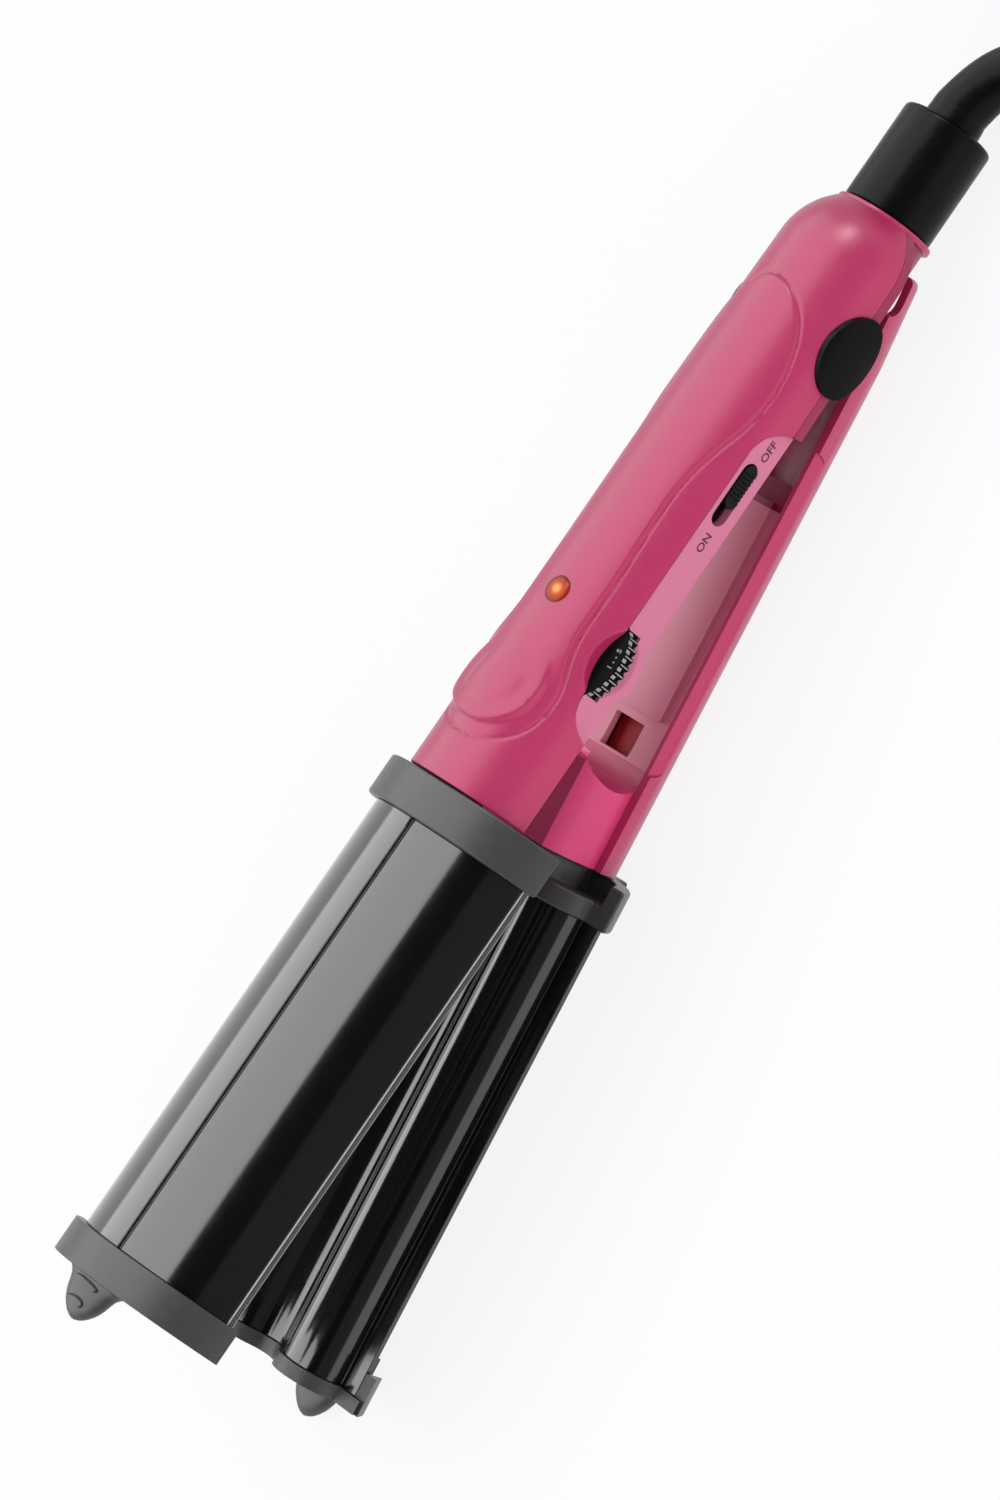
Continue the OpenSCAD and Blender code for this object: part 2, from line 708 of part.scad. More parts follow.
// Slide switch on the board, with a channel for the slider's stem
module switch_body() {
    top = switch_z + 1 + 2 * switch_clear;
    y1 = panel_in - 0.4;
    y0 = y1 - 5;
    channel_l = switch_stem_w + switch_travel + 2 * switch_clear;
    color(soft_black) in_upper() difference() {
        block([switch_x - 9, y0, board_top], [switch_x + 9, y1, top]);
        translate([slider_x + slider_l / 2 - switch_stem_w / 2 - switch_clear, y1 - 3,
            switch_z - 1 - switch_clear])
            cube([channel_l, far, 2 + 2 * switch_clear]);
    }
}

// Ribbed black slider of the power switch, resting at OFF
module switch_slider() {
    h = switch_slot_h - 2 * switch_clear;
    rib = 0.5;
    color(soft_black) in_upper() {
        difference() {
            translate([slider_x + slider_l / 2, 0, switch_z])
                switch_slot(slider_l, h, panel_in, panel_y + switch_proud);
            for (i = [-3:3])
                translate([slider_x + slider_l / 2 + i * 2 * rib - rib / 2, panel_y + switch_proud - rib, 0])
                    cube([rib, far, far]);
        }
        translate([slider_x + slider_l / 2 - switch_stem_w / 2, panel_in - 2.8, switch_z - 1])
            cube([switch_stem_w, 3, 2]);
    }
}

// Rotary control under the dial
module dial_control() {
    color(soft_black) in_upper() difference() {
        translate([dial_x, dial_y, board_top]) cylinder(r = control_r, h = dial_z - dial_clear - board_top);
        translate([dial_x, dial_y, 0]) cylinder(r = spindle_d / 2 + spindle_clear, h = far);
    }
}

// Toothed thumb wheel for the heat, with its spindle
module temperature_dial() {
    color(soft_black) in_upper() translate([dial_x, dial_y, 0]) {
        difference() {
            translate([0, 0, dial_z]) cylinder(r = dial_r, h = dial_t);
            for (i = [0:dial_teeth - 1])
                rotate([0, 0, i * 360 / dial_teeth]) translate([dial_r, 0, 0])
                    rotate([0, 0, 45]) translate([-dial_tooth, -dial_tooth, 0])
                        cube([2 * dial_tooth, 2 * dial_tooth, dial_z + dial_t - 0.8]);
        }
        translate([0, 0, board_top + control_gap]) cylinder(r = spindle_d / 2, h = dial_z - board_top);
    }
}

// Steel hinge pin from cap to cap
module hinge_pin() {
    color(steel) in_upper() bar_y(pin_d / 2, -far_pin_l, near_pin_l);
}

// Cap of thickness t that follows the handle's curve on side s, with an outline about the hinge pin
module hinge_cap(s, outline, t) {
    y1 = s > 0 ? far : 0;
    color(soft_black) in_upper() difference() {
        intersection() {
            bar_x(cap_in_r + t, -far, far);
            translate([0, y1, pivot_z]) rotate([90, 0, 0]) linear_extrude(far) polygon(outline);
        }
        bar_x(cap_in_r, -far, far);
        bar_y(pin_d / 2, -far_pin_l, near_pin_l);
    }
}

function oval(half_l, half_h) = [for (a = [0:7.5:352.5]) [half_l * cos(a), half_h * sin(a)]];
module hinge_cap_near() {
    hinge_cap(1, [for (p = oval(cap_r, cap_half_h)) p + [cap_shift, 0]], cap_t);
}

module hinge_cap_far() {
    hinge_cap(-1, oval(far_cap_r, far_cap_r), far_cap_t);
}

// Two plain bushes pressed into the lower arm's ears
module hinge_bushes() {
    color(brass) in_lower() for (s = [-1, 1]) difference() {
        intersection() {
            bar_y(bush_r, s > 0 ? ear_in : -far, s > 0 ? far : -ear_in);
            bar_x(ear_out_r, -far, far);
        }
        bar_y(pin_d / 2 + pin_clear, -far, far);
    }
}

// Points of the opening spring: a leg on the lower arm, the turns, a leg under the upper arm
spring_r = pin_d / 2 + spring_wire;
spring_half_w = spring_turns * (spring_wire + 0.6) / 2;
spring_ring = 45;
spring_leg = 14;
function spring_turn(a) = [spring_r * sin(a), -spring_half_w + a / 360 * (spring_wire + 0.6),
    pivot_z - spring_r * cos(a)];
spring_total = spring_turns * 360 + 180;
spring_path = concat(
    [[spring_leg, -spring_half_w - 2 * (spring_wire + 0.6) / 8, pivot_z - spring_r - spring_leg * 0.5]],
    [for (a = [0:spring_ring:spring_total]) spring_turn(a)],
    [[-spring_leg * 0.5, spring_half_w + 1.4, pivot_z + spring_r]]);

module hinge_spring() {
    color(steel) in_lower() tube(spring_path, [for (p = spring_path) spring_wire / 2], 6, [0, 1, 0]);
}

// Half of the waving profile at distance g above the lower plate, from the middle plane outwards:
// the saddle's arc, the barrel's arc tangent to it, then the flat lip
arc_n = 10;
meet = atan2(barrel_z - ridge_z, barrel_y);
function saddle_pt(g, a) = [(ridge_r + hair_gap - g) * cos(a), ridge_z + (ridge_r + hair_gap - g) * sin(a)];
function barrel_pt(g, a) = [barrel_y + (barrel_r + g) * cos(a), barrel_z + (barrel_r + g) * sin(a)];
function lip_angle(g) = asin((lip_z + g - barrel_z) / (barrel_r + g));
function half_wave(g) = concat(
    [for (i = [1:arc_n]) saddle_pt(g, -90 + (meet + 90) * i / arc_n)],
    [for (i = [1:2 * arc_n]) barrel_pt(g, meet + 180 + (lip_angle(g) - meet - 180) * i / (2 * arc_n))],
    [[far, lip_z + g]]);
function mirrored(pts) = [for (i = [len(pts) - 1:-1:0]) [-pts[i][0], pts[i][1]]];
function full_wave(g) = concat(mirrored(half_wave(g)), [saddle_pt(g, -90)], half_wave(g));

// Everything below the waving profile, in Y and Z
module below_wave(g) {
    polygon(concat(full_wave(g), [[far, -far], [-far, -far]]));
}

// Everything above the waving profile, in Y and Z
module above_wave(g) {
    polygon(concat(full_wave(g), [[far, far], [-far, far]]));
}

// A jaw's arched outline in Y and Z, with its back grown by grow
module upper_arch(grow) {
    translate([0, upper_arch_z]) circle(r = arch_r + grow);
}

module lower_arch(grow) {
    translate([0, lower_arch_z]) circle(r = arch_r + grow);
}

// A strip of the section between two heights
module band_z(z0, z1, half_w) {
    translate([-half_w, z0]) square([2 * half_w, z1 - z0]);
}

// Arched black back of the upper jaw, with the fine groove along its crown
module upper_jaw_shell() {
    color(gloss_black) in_upper() along_x(jaw_start, jaw_end) difference() {
        intersection() {
            upper_arch(0);
            band_z(upper_rim, far, far);
        }
        upper_arch(-arch_wall);
        translate([-crown_groove / 2, upper_crown - arch_wall / 2]) square([crown_groove, arch_wall]);
    }
}

module lower_jaw_shell() {
    color(gloss_black) in_lower() along_x(jaw_start, lower_jaw_end) difference() {
        intersection() {
            lower_arch(0);
            band_z(-far, lower_rim, far);
        }
        lower_arch(-arch_wall);
    }
}

// Upper waving plate: two troughs and the middle ridge, with a flat land for the heater
module upper_wave_plate() {
    color(gloss_black) in_upper() along_x(jaw_start, jaw_end) {
        intersection() {
            difference() {
                above_wave(hair_gap);
                difference() {
                    above_wave(hair_gap + plate_t);
                    band_z(-far, upper_land, upper_heater_w / 2);
                }
            }
            band_z(-far, far, jaw_half_w);
        }
    }
}

// Lower waving plate: the two outer barrels and the saddle, with flat lands for the heaters
module lower_wave_plate() {
    color(gloss_black) in_lower() along_x(jaw_start, lower_jaw_end) {
        intersection() {
            difference() {
                below_wave(0);
                difference() {
                    below_wave(-plate_t);
                    for (s = [-1, 1])
                        translate([s * barrel_y - lower_heater_w / 2, lower_land])
                            square([lower_heater_w, barrel_r]);
                }
            }
            band_z(-far, far, jaw_half_w);
        }
    }
}

// Heater bar pressed on the upper land
module upper_heater() {
    color(ceramic) in_upper()
        block([heater_start, -upper_heater_w / 2 + 0.2, upper_land],
            [heater_start + heater_l, upper_heater_w / 2 - 0.2, upper_land + heater_t]);
}

// Pair of heater bars pressed on the lower lands
module lower_heaters() {
    color(ceramic) in_lower() for (s = [-1, 1])
        block([heater_start, s * barrel_y - lower_heater_w / 2, lower_land - heater_t],
            [heater_start + heater_l, s * barrel_y + lower_heater_w / 2, lower_land]);
}

// Bent spring clip between the upper heater and the arched back
module upper_heater_clip() {
    z0 = upper_land + heater_t;
    z1 = upper_crown - arch_wall - seam;
    half_w = upper_heater_w / 2 - 0.4;
    color(steel) in_upper() {
        block([clip_start, -half_w, z0], [clip_start + clip_span, half_w, z0 + clip_t]);
        block([clip_start, -clip_t / 2, z0], [clip_start + clip_span, clip_t / 2, z1 - clip_t]);
        block([clip_start, -half_w, z1 - clip_t], [clip_start + clip_span, half_w, z1]);
    }
}

// Bent spring clip between the lower heaters and the arched back
module lower_heater_clip() {
    z0 = lower_land - heater_t;
    z1 = -lower_crown + arch_wall + seam;
    half_w = barrel_y + lower_heater_w / 2 - 3;
    color(steel) in_lower() {
        block([clip_start, -half_w, z0 - clip_t], [clip_start + clip_span, half_w, z0]);
        block([clip_start, -clip_t / 2, z1], [clip_start + clip_span, clip_t / 2, z0]);
        block([clip_start, -2.5, z1], [clip_start + clip_span, 2.5, z1 + clip_t]);
    }
}

// The hollow between a plate and its back, drawn in by the plug clearance
module upper_hollow() {
    intersection() {
        upper_arch(-arch_wall - plug_clear);
        above_wave(hair_gap + plate_t + plug_clear);
        band_z(upper_land + heater_t + clip_t, far, barrel_y - 2);
    }
}

module lower_hollow() {
    intersection() {
        lower_arch(-arch_wall - plug_clear);
        below_wave(-plate_t - plug_clear);
        band_z(-far, lower_land - plug_clear, far);
    }
}

// Sections of a finger nose: share of its length, of its half width and of its half height
nose_shares = [[-0.12, 1.37, 1], [0, 1.37, 1], [0.06, 1.24, 1], [0.15, 1.11, 0.99], [0.28, 1.02, 0.97],
    [0.45, 0.93, 0.92], [0.58, 0.83, 0.85], [0.69, 0.72, 0.76], [0.8, 0.57, 0.63], [0.9, 0.4, 0.46],
    [0.96, 0.24, 0.3], [1, 0.06, 0.1]];

// A finger nose on a tip cap: ovals round the line at height z, from x0 on over the length l
module finger_nose(x0, z, l) {
    n = 28;
    last = n * (len(nose_shares) - 1);
    points = [for (s = nose_shares) for (p = oval_points(s, n)) [x0 + s[0] * l, p[0], z + p[1]]];
    sides = [for (r = [0:n:last - n]) for (i = [0:n - 1]) let (j = (i + 1) % n)
        each [[r + i, r + n + j, r + j], [r + i, r + n + i, r + n + j]]];
    polyhedron(points, concat(sides, [[for (i = [0:n - 1]) i], [for (i = [n - 1:-1:0]) last + i]]));
}
function oval_points(s, n) = [for (i = [0:n - 1]) let (a = 360 * i / n)
    [nose_half_w * s[1] * cos(a), nose_half_h * s[2] * sin(a)]];

// Grey collar between the upper handle and the upper jaw
module upper_root_collar() {
    g = band_proud + collar_gap;
    color(satin_grey) in_upper() {
        difference() {
            along_x(collar_start, jaw_start) intersection() {
                upper_arch(collar_proud);
                above_wave(g);
            }
            bar_x(neck_r + collar_gap, collar_start - 1, jaw_start - band_l + 2 * collar_gap);
        }
        along_x(jaw_start - 1, jaw_start + plug_depth) upper_hollow();
        intersection() {
            bar_x(handle_bore_r - seam, neck_end - plug_depth, collar_start + 1);
            block([-far, -far, neck_r + collar_gap], [far, far, far]);
        }
    }
}

// Grey collar between the lower handle and the lower jaw, with a rest foot
module lower_root_collar() {
    color(satin_grey) in_lower() difference() {
        union() {
            difference() {
                along_x(collar_start, jaw_start) intersection() {
                    lower_arch(collar_proud);
                    below_wave(band_proud);
                    band_z(-far, lip_z + band_proud, far);
                }
                along_x(collar_start - 1, jaw_start - band_l) intersection() {
                    lower_arch(collar_proud - lug_w);
                    band_z(lug_floor, far, far);
                }
            }
            along_x(jaw_start - band_l, jaw_start) intersection() {
                lower_arch(collar_proud);
                below_wave(band_proud);
            }
            along_x(collar_start, jaw_start) band_z(foot_z, -lower_crown, foot_half_w);
            intersection() {
                bar_x(neck_r, neck_end + seam, jaw_start - band_l + collar_gap / 2);
                block([-far, -far, -far], [far, far, neck_top]);
            }
            bar_x(neck_r - neck_wall - seam, neck_end - plug_depth,
                jaw_start - band_l + collar_gap / 2);
            along_x(jaw_start - 1, jaw_start + plug_depth) lower_hollow();
        }
        bar_x(wire_bore_d, neck_end - far, jaw_end);
    }
}

// Grey cap over the upper jaw's tip
module upper_tip_cap() {
    color(satin_grey) in_upper() {
        along_x(jaw_end, cap_end) intersection() {
            upper_arch(collar_proud);
            above_wave(band_proud + collar_gap);
        }
        along_x(jaw_end - plug_depth, jaw_end + 1) upper_hollow();
        finger_nose(cap_end, upper_nose_z, upper_nose_l);
    }
}

// Grey cap over the lower jaw's tip, with a lug beside each lip and a rest foot
module lower_tip_cap() {
    color(satin_grey) in_lower() {
        along_x(lower_jaw_end, lower_cap_end) intersection() {
            lower_arch(collar_proud);
            below_wave(band_proud);
        }
        along_x(tip_lug_start, lower_cap_end) difference() {
            intersection() {
                lower_arch(tip_lug_proud);
                band_z(-far, lip_z, far);
            }
            band_z(-far, far, jaw_half_w + seam);
        }
        along_x(tip_lug_start, lower_cap_end) band_z(foot_z, -lower_crown - seam, foot_half_w);
        along_x(lower_jaw_end - plug_depth, lower_jaw_end + 1) lower_hollow();
        finger_nose(lower_cap_end, lower_nose_z, lower_nose_l);
    }
}

// Screws that hold the top cover to the base, from below
screw_places = [21, dial_x - 24.6];
screw_r = 1.5;
screw_l = 12;
screw_boss_r = 2.8;
screw_head_r = 2.7;
screw_head_t = 1.4;
module cover_screws() {
    color(steel) in_upper() for (x = screw_places) {
        translate([x, 0, base_z - screw_head_t]) cylinder(r = screw_head_r, h = screw_head_t);
        translate([x, 0, base_z - screw_head_t / 2]) cylinder(r = screw_r, h = screw_l + screw_head_t / 2);
    }
}

// The round lower handle as a solid, drawn in from its skin by inset
module lower_form(inset, x1) {
    tip_r = tail_r - inset;
    turned() polygon([[0, -tail_back], [tip_r - 1.4, -tail_back], [tip_r - 0.4, 0.6 - tail_back],
        [tip_r, 1.6 - tail_back], [lower_r - inset, 0], [lower_r - inset, x1], [0, x1]]);
}

// The cut of the flat side band with its round ends, on side s
module lower_band(s) {
    y0 = s > 0 ? lower_band_y : -far;
    y1 = s > 0 ? far : -lower_band_y;
    r = 6;
    x0 = lower_band_start + r;
    x1 = lower_band_start + lower_band_l - r;
    block([x0, y0, -far], [x1, y1, lower_edge]);
    for (x = [x0, x1]) translate([x, y1, lower_edge]) rotate([90, 0, 0]) cylinder(r = r, h = y1 - y0);
}

// Pink shell of the lower arm: half round, forked at its tail, with the hinge ears and a rest foot
module lower_handle_shell() {
    color(pink) in_lower() difference() {
        union() {
            difference() {
                intersection() {
                    lower_form(0, neck_end);
                    block([-far, -far, -far], [far, far, lower_edge]);
                }
                intersection() {
                    lower_form(lower_wall, neck_end + 1);
                    block([-far, -far, -far], [neck_end + 1, far, far]);
                }
            }
            for (s = [-1, 1]) intersection() {
                union() {
                    bar_y(ear_r, s > 0 ? ear_in : -far, s > 0 ? far : -ear_in);
                    block([-ear_r, s > 0 ? ear_in : -far, lower_edge - 4],
                        [ear_r, s > 0 ? far : -ear_in, pivot_z]);
                }
                bar_x(ear_out_r, -far, far);
            }
            block([rear_foot_start, -rear_foot_half_w, foot_z],
                [rear_foot_start + rear_foot_l, rear_foot_half_w, lower_wall / 2 - lower_r]);
            for (x = lower_screw_places) translate([x, 0, lower_wall / 2 - lower_r])
                cylinder(r = screw_boss_r + 1, h = lower_boss_top - lower_wall / 2 + lower_r);
        }
        block([-far, -fork_half_w, -far], [-fork_back, fork_half_w, far]);
        block([-far, -far, prong_z], [-prong_root, far, far]);
        translate([-prong_root, far, prong_z + prong_round]) rotate([90, 0, 0])
            cylinder(r = prong_round, h = 2 * far);
        bar_y(bush_r, -far, far);
        for (s = [-1, 1]) lower_band(s);
        for (x = lower_screw_places) translate([x, 0, -far]) {
            cylinder(r = screw_r, h = far);
            cylinder(r = screw_head_r + seam, h = far + lower_head_z);
        }
    }
}

// Pink inner cover of the lower arm: flat face, raised tongue, locating window and scooped neck block
module lower_inner_cover() {
    fit_r = lower_r - lower_wall - seam;
    bore_start = scoop_x + scoop_r + neck_wall;
    color(pink) in_lower() difference() {
        union() {
            intersection() {
                bar_x(fit_r, inner_start, neck_end);
                block([inner_start, -far, inner_z - inner_t], [neck_end, far, inner_z]);
            }
            block([tongue_start, -tongue_half_w, inner_z - inner_t],
                [tongue_end, tongue_half_w, inner_z + tongue_rise]);
            intersection() {
                bar_x(fit_r, scoop_x, neck_end);
                block([scoop_x, -far, inner_z - inner_t], [neck_end, far, neck_top]);
            }
            for (x = lower_screw_places) translate([x, 0, lower_boss_top + seam])
                cylinder(r = screw_boss_r, h = inner_z - inner_t / 2 - lower_boss_top - seam);
        }
        translate([scoop_x, far, pivot_z - 1]) rotate([90, 0, 0]) cylinder(r = scoop_r, h = 2 * far);
        bar_x(neck_r - neck_wall, bore_start, neck_end + 1);
        bar_x(wire_bore_d / 2, scoop_x, neck_end);
        block([window_x - window_l / 2, -window_w / 2, -far], [window_x + window_l / 2, window_w / 2, far]);
        for (x = lower_screw_places) translate([x, 0, -far]) cylinder(r = screw_r, h = far + inner_z);
    }
}

// Screws that hold the inner cover to the lower shell, from below
lower_screw_places = [46, 84];
lower_head_z = 1.6 - lower_r + lower_wall;
lower_boss_top = inner_z - inner_t - 1.6;
module lower_screws() {
    color(steel) in_lower() for (x = lower_screw_places) {
        translate([x, 0, lower_head_z - screw_head_t]) cylinder(r = screw_head_r, h = screw_head_t);
        translate([x, 0, lower_head_z - screw_head_t / 2])
            cylinder(r = screw_r, h = inner_z - lower_head_z + screw_head_t / 2);
    }
}

// Black sleeve at the handle's cord end, with its spigot in the handle
module swivel_sleeve() {
    color(soft_black) in_upper() difference() {
        union() {
            turned() polygon([[0, sleeve_end], [sleeve_r - sleeve_round, sleeve_end],
                [sleeve_r - 0.3 * sleeve_round, sleeve_end + 0.3 * sleeve_round],
                [sleeve_r, sleeve_end + sleeve_round], [sleeve_r, sleeve_face - seam],
                [0, sleeve_face - seam]]);
            bar_x(spigot_r, sleeve_face - 1, sleeve_face + spigot_l);
        }
        bar_x(spool_r + spool_clear, spool_start - spool_clear, sleeve_face + spigot_l + 1);
        bar_x(wire_bore_d / 2 + 1, sleeve_end - 1, sleeve_face);
    }
}

// Spool that turns in the sleeve and carries the slip rings
module swivel_spool() {
    ring_w = 2.4;
    color(brass) in_upper() difference() {
        turned() polygon(concat([[wire_bore_d / 2, spool_start], [spool_r, spool_start]],
            [for (i = [0:1]) for (p = [[0, 0], [-0.8, 0], [-0.8, 1], [0, 1]])
                [spool_r + p[0], spool_start + spool_l * 0.5 + i * 2 * ring_w + p[1] * ring_w]],
            [[spool_r, spool_start + spool_l], [wire_bore_d / 2, spool_start + spool_l]]));
    }
}

// Sweep of a round section along points: each ring stands square to the path
function unit(v) = v / norm(v);
function heading(pts, i) = unit(pts[min(i + 1, len(pts) - 1)] - pts[max(i - 1, 0)]);
function ring(c, t, r, n, side) = let (a = unit(cross(side, t)), b = cross(t, a))
    [for (k = [0:n - 1]) c + r * (cos(360 * k / n) * a + sin(360 * k / n) * b)];
module tube(pts, radii, n, side) {
    m = len(pts);
    verts = [for (i = [0:m - 1]) each ring(pts[i], heading(pts, i), radii[i], n, side)];
    walls = [for (i = [0:m - 2]) for (k = [0:n - 1]) let (j = (k + 1) % n)
        each [[i * n + k, (i + 1) * n + j, i * n + j], [i * n + k, (i + 1) * n + k, (i + 1) * n + j]]];
    first = [for (k = [1:n - 2]) [0, k, k + 1]];
    last = [for (k = [1:n - 2]) [(m - 1) * n, (m - 1) * n + k + 1, (m - 1) * n + k]];
    polyhedron(points = verts, faces = concat(walls, first, last));
}
up = [0, 0, 1];

// Tapered strain relief that bends out of the sleeve's end
relief_path = concat([exit_point, exit_point + 2.5 * exit_dir, exit_point + 5 * exit_dir], relief_route);
module strain_relief() {
    steps = len(relief_path) - 1;
    color(soft_black) tube(relief_path,
        [for (i = [0:steps]) (relief_d0 + (relief_d1 - relief_d0) * i / steps) / 2], 12, up);
}

// Left bend of the lead on the floor: the place after a turn by a, sinking to the floor on the way
function lead_bend_point(a) = let (sink = pow(1 - a / lead_bend, 2)) [
    relief_end[0] + lead_bend_r * (sin(relief_heading + a) - sin(relief_heading)),
    relief_end[1] - lead_bend_r * (cos(relief_heading + a) - cos(relief_heading)),
    lay_z + (relief_end[2] - lay_z) * sink];
lead_dir = [cos(relief_heading + lead_bend), sin(relief_heading + lead_bend), 0];

// Coil of the stored lead: layers that wind in and out by turns, with a climb of half a turn between them
function coil_flat(a) = let (t = a / layer_angle, k = min(floor(t), coil_layers - 1), f = t - k)
    coil_r_min + coil_pitch * coil_layer_turns * (k % 2 == 0 ? 1 - f : f);
function climbs(a, i) = i == 0 ? 0 : min(max((a - i * layer_angle + 90) / 180, 0), 1) + climbs(a, i - 1);
coil_centre = lead_bend_point(lead_bend) + (lead_run + cord_d) * lead_dir
    - coil_flat(0) * [cos(coil_start_angle), sin(coil_start_angle), 0];
function coil_point(a) = [coil_centre[0] + coil_flat(a) * cos(coil_start_angle + a),
    coil_centre[1] + coil_flat(a) * sin(coil_start_angle + a),
    lay_z + coil_layer * climbs(a, coil_layers - 1)];
coil_steps = ceil(coil_end / coil_step);
coil_turns = [for (i = [0:coil_steps]) coil_point(coil_end * i / coil_steps)];
coil_first_dir = unit(coil_point(1) - coil_point(0));
coil_first = coil_turns[0] - cord_d * coil_first_dir;
coil_last_dir = unit(coil_point(coil_end) - coil_point(coil_end - 1));

// Last stretch: straight on from the top layer, sinking softly to the height of the plug
tail_drop = (coil_layers - 2) * coil_layer;
function soft(f) = let (t = min(max(f, 0), 1)) t * t * (3 - 2 * t);
function tail_point(f) = coil_turns[coil_steps] + f * coil_tail * coil_last_dir
    - [0, 0, tail_drop * soft(f * 1.08 - 0.04)];
coil_path = concat([coil_first], coil_turns, [for (i = [1:8]) tail_point(i / 8)]);
coil_last = tail_point(1);

// Least distance between stretches of the coil that are over a third of a turn apart, less the cord
function coil_gap() = min([for (i = [0:len(coil_path) - 1]) for (j = [i + 8:1:len(coil_path) - 1])
    norm(coil_path[i] - coil_path[j])]) - cord_d;
function path_length(pts) = len(pts) < 2 ? 0 : [for (i = 0, s = 0; i < len(pts); i = i + 1,
    s = s + (i < len(pts) ? norm(pts[i] - pts[i - 1]) : 0)) s][len(pts) - 1];
module cord_coil() {
    echo(least_gap_of_coil = coil_gap(), coil_length = path_length(coil_path));
    color(soft_black) tube(coil_path, [for (p = coil_path) cord_r], 6, up);
}

// Free stretch of the lead from the strain relief to the coil
lead_path = concat([lead_bend_point(lead_start)], [for (i = [1:7]) lead_bend_point(lead_bend * i / 7)],
    [coil_first - lead_run / 2 * coil_first_dir, coil_first - 0.7 * cord_d * coil_first_dir, coil_first]);
module cord_lead() {
    echo(lead_length = path_length(lead_path));
    color(soft_black) tube(lead_path, [for (p = lead_path) cord_r], 10, up);
}

// Flat tie round the coil's turns
tie_angle = 270;
module cord_tie() {
    r0 = coil_r_min - cord_r - 1.6;
    r1 = coil_flat(0) + cord_r + 1.6;
    top = lay_z + (coil_layers - 1) * coil_layer + cord_r + 0.4;
    color(soft_black) translate([coil_centre[0], coil_centre[1], 0]) rotate([0, 0, tie_angle]) difference() {
        block([r0 - tie_t, -tie_w / 2, 0], [r1 + tie_t, tie_w / 2, top + tie_t]);
        block([r0, -tie_w, tie_t], [r1, tie_w, top]);
    }
}

// Moulded plug at the end of the lead, lying behind the coil
plug_point = coil_last + lead_gap * coil_last_dir;
plug_turn = atan2(coil_last_dir[1], coil_last_dir[0]);
plug_h = 2 * (lay_z + coil_layer);
module at_plug() {
    translate(plug_point) rotate([0, 0, plug_turn]) children();
}

module plug_body() {
    neck_l = 8;
    corner = 4;
    color(soft_black) at_plug() {
        rotate([0, 90, 0]) cylinder(r1 = cord_r + 0.8, r2 = cord_r + 2.5, h = neck_l);
        difference() {
            block([neck_l - 0.5, -plug_w / 2, -plug_h / 2], [plug_l, plug_w / 2, plug_h / 2]);
            for (y = [-1, 1])
                translate([neck_l - 0.5, y * plug_w / 2, -far]) rotate([0, 0, 45])
                    translate([-corner, -corner, 0]) cube([2 * corner, 2 * corner, 2 * far]);
        }
    }
}

module plug_blades() {
    color(brass) at_plug() for (s = [-1, 1])
        translate([plug_l, s * blade_gap / 2 - blade_t / 2, -blade_w / 2]) cube([blade_l, blade_t, blade_w]);
}

upper_top_cover();
upper_base_cover();
indicator_lens();
indicator_lamp();
circuit_board();
switch_body();
switch_slider();
dial_control();
temperature_dial();
hinge_pin();
hinge_cap_near();
hinge_cap_far();
hinge_bushes();
hinge_spring();
upper_root_collar();
upper_jaw_shell();
upper_wave_plate();
upper_heater();
upper_heater_clip();
upper_tip_cap();
cover_screws();
swivel_sleeve();
swivel_spool();
lower_handle_shell();
lower_inner_cover();
lower_root_collar();
lower_jaw_shell();
lower_wave_plate();
lower_heaters();
lower_heater_clip();
lower_tip_cap();
lower_screws();
strain_relief();
cord_lead();
cord_coil();
cord_tie();
plug_body();
plug_blades();
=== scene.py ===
"""Three barrel hair waver lying open on its lower arm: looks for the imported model.

Shapes are worked out in millimetres of the closed tool (x from the hinge pin to the tip, y to the
switch side, z up from the handle axis) and then placed in metres on the lower or the upper arm.
"""

import json
import math

import bmesh
import bpy
import numpy as np
from mathutils import Matrix

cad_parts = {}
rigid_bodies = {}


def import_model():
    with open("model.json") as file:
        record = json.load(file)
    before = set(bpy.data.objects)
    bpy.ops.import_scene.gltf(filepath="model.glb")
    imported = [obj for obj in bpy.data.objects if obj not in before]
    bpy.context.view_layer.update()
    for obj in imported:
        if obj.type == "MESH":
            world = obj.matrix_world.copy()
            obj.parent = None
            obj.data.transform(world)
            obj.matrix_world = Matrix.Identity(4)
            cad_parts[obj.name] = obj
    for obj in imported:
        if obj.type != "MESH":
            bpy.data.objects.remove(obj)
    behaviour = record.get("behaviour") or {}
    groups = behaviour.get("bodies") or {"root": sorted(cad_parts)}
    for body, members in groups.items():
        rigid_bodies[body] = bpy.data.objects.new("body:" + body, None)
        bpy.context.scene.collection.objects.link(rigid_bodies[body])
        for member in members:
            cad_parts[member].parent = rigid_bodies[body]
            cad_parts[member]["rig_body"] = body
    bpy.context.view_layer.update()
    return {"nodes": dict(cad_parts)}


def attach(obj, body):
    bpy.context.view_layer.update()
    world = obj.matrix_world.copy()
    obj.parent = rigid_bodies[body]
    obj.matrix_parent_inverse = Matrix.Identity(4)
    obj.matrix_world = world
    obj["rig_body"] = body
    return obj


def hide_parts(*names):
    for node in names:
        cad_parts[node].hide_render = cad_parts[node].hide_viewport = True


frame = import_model()
NODES = frame["nodes"]
FULL_TURN = 2 * math.pi

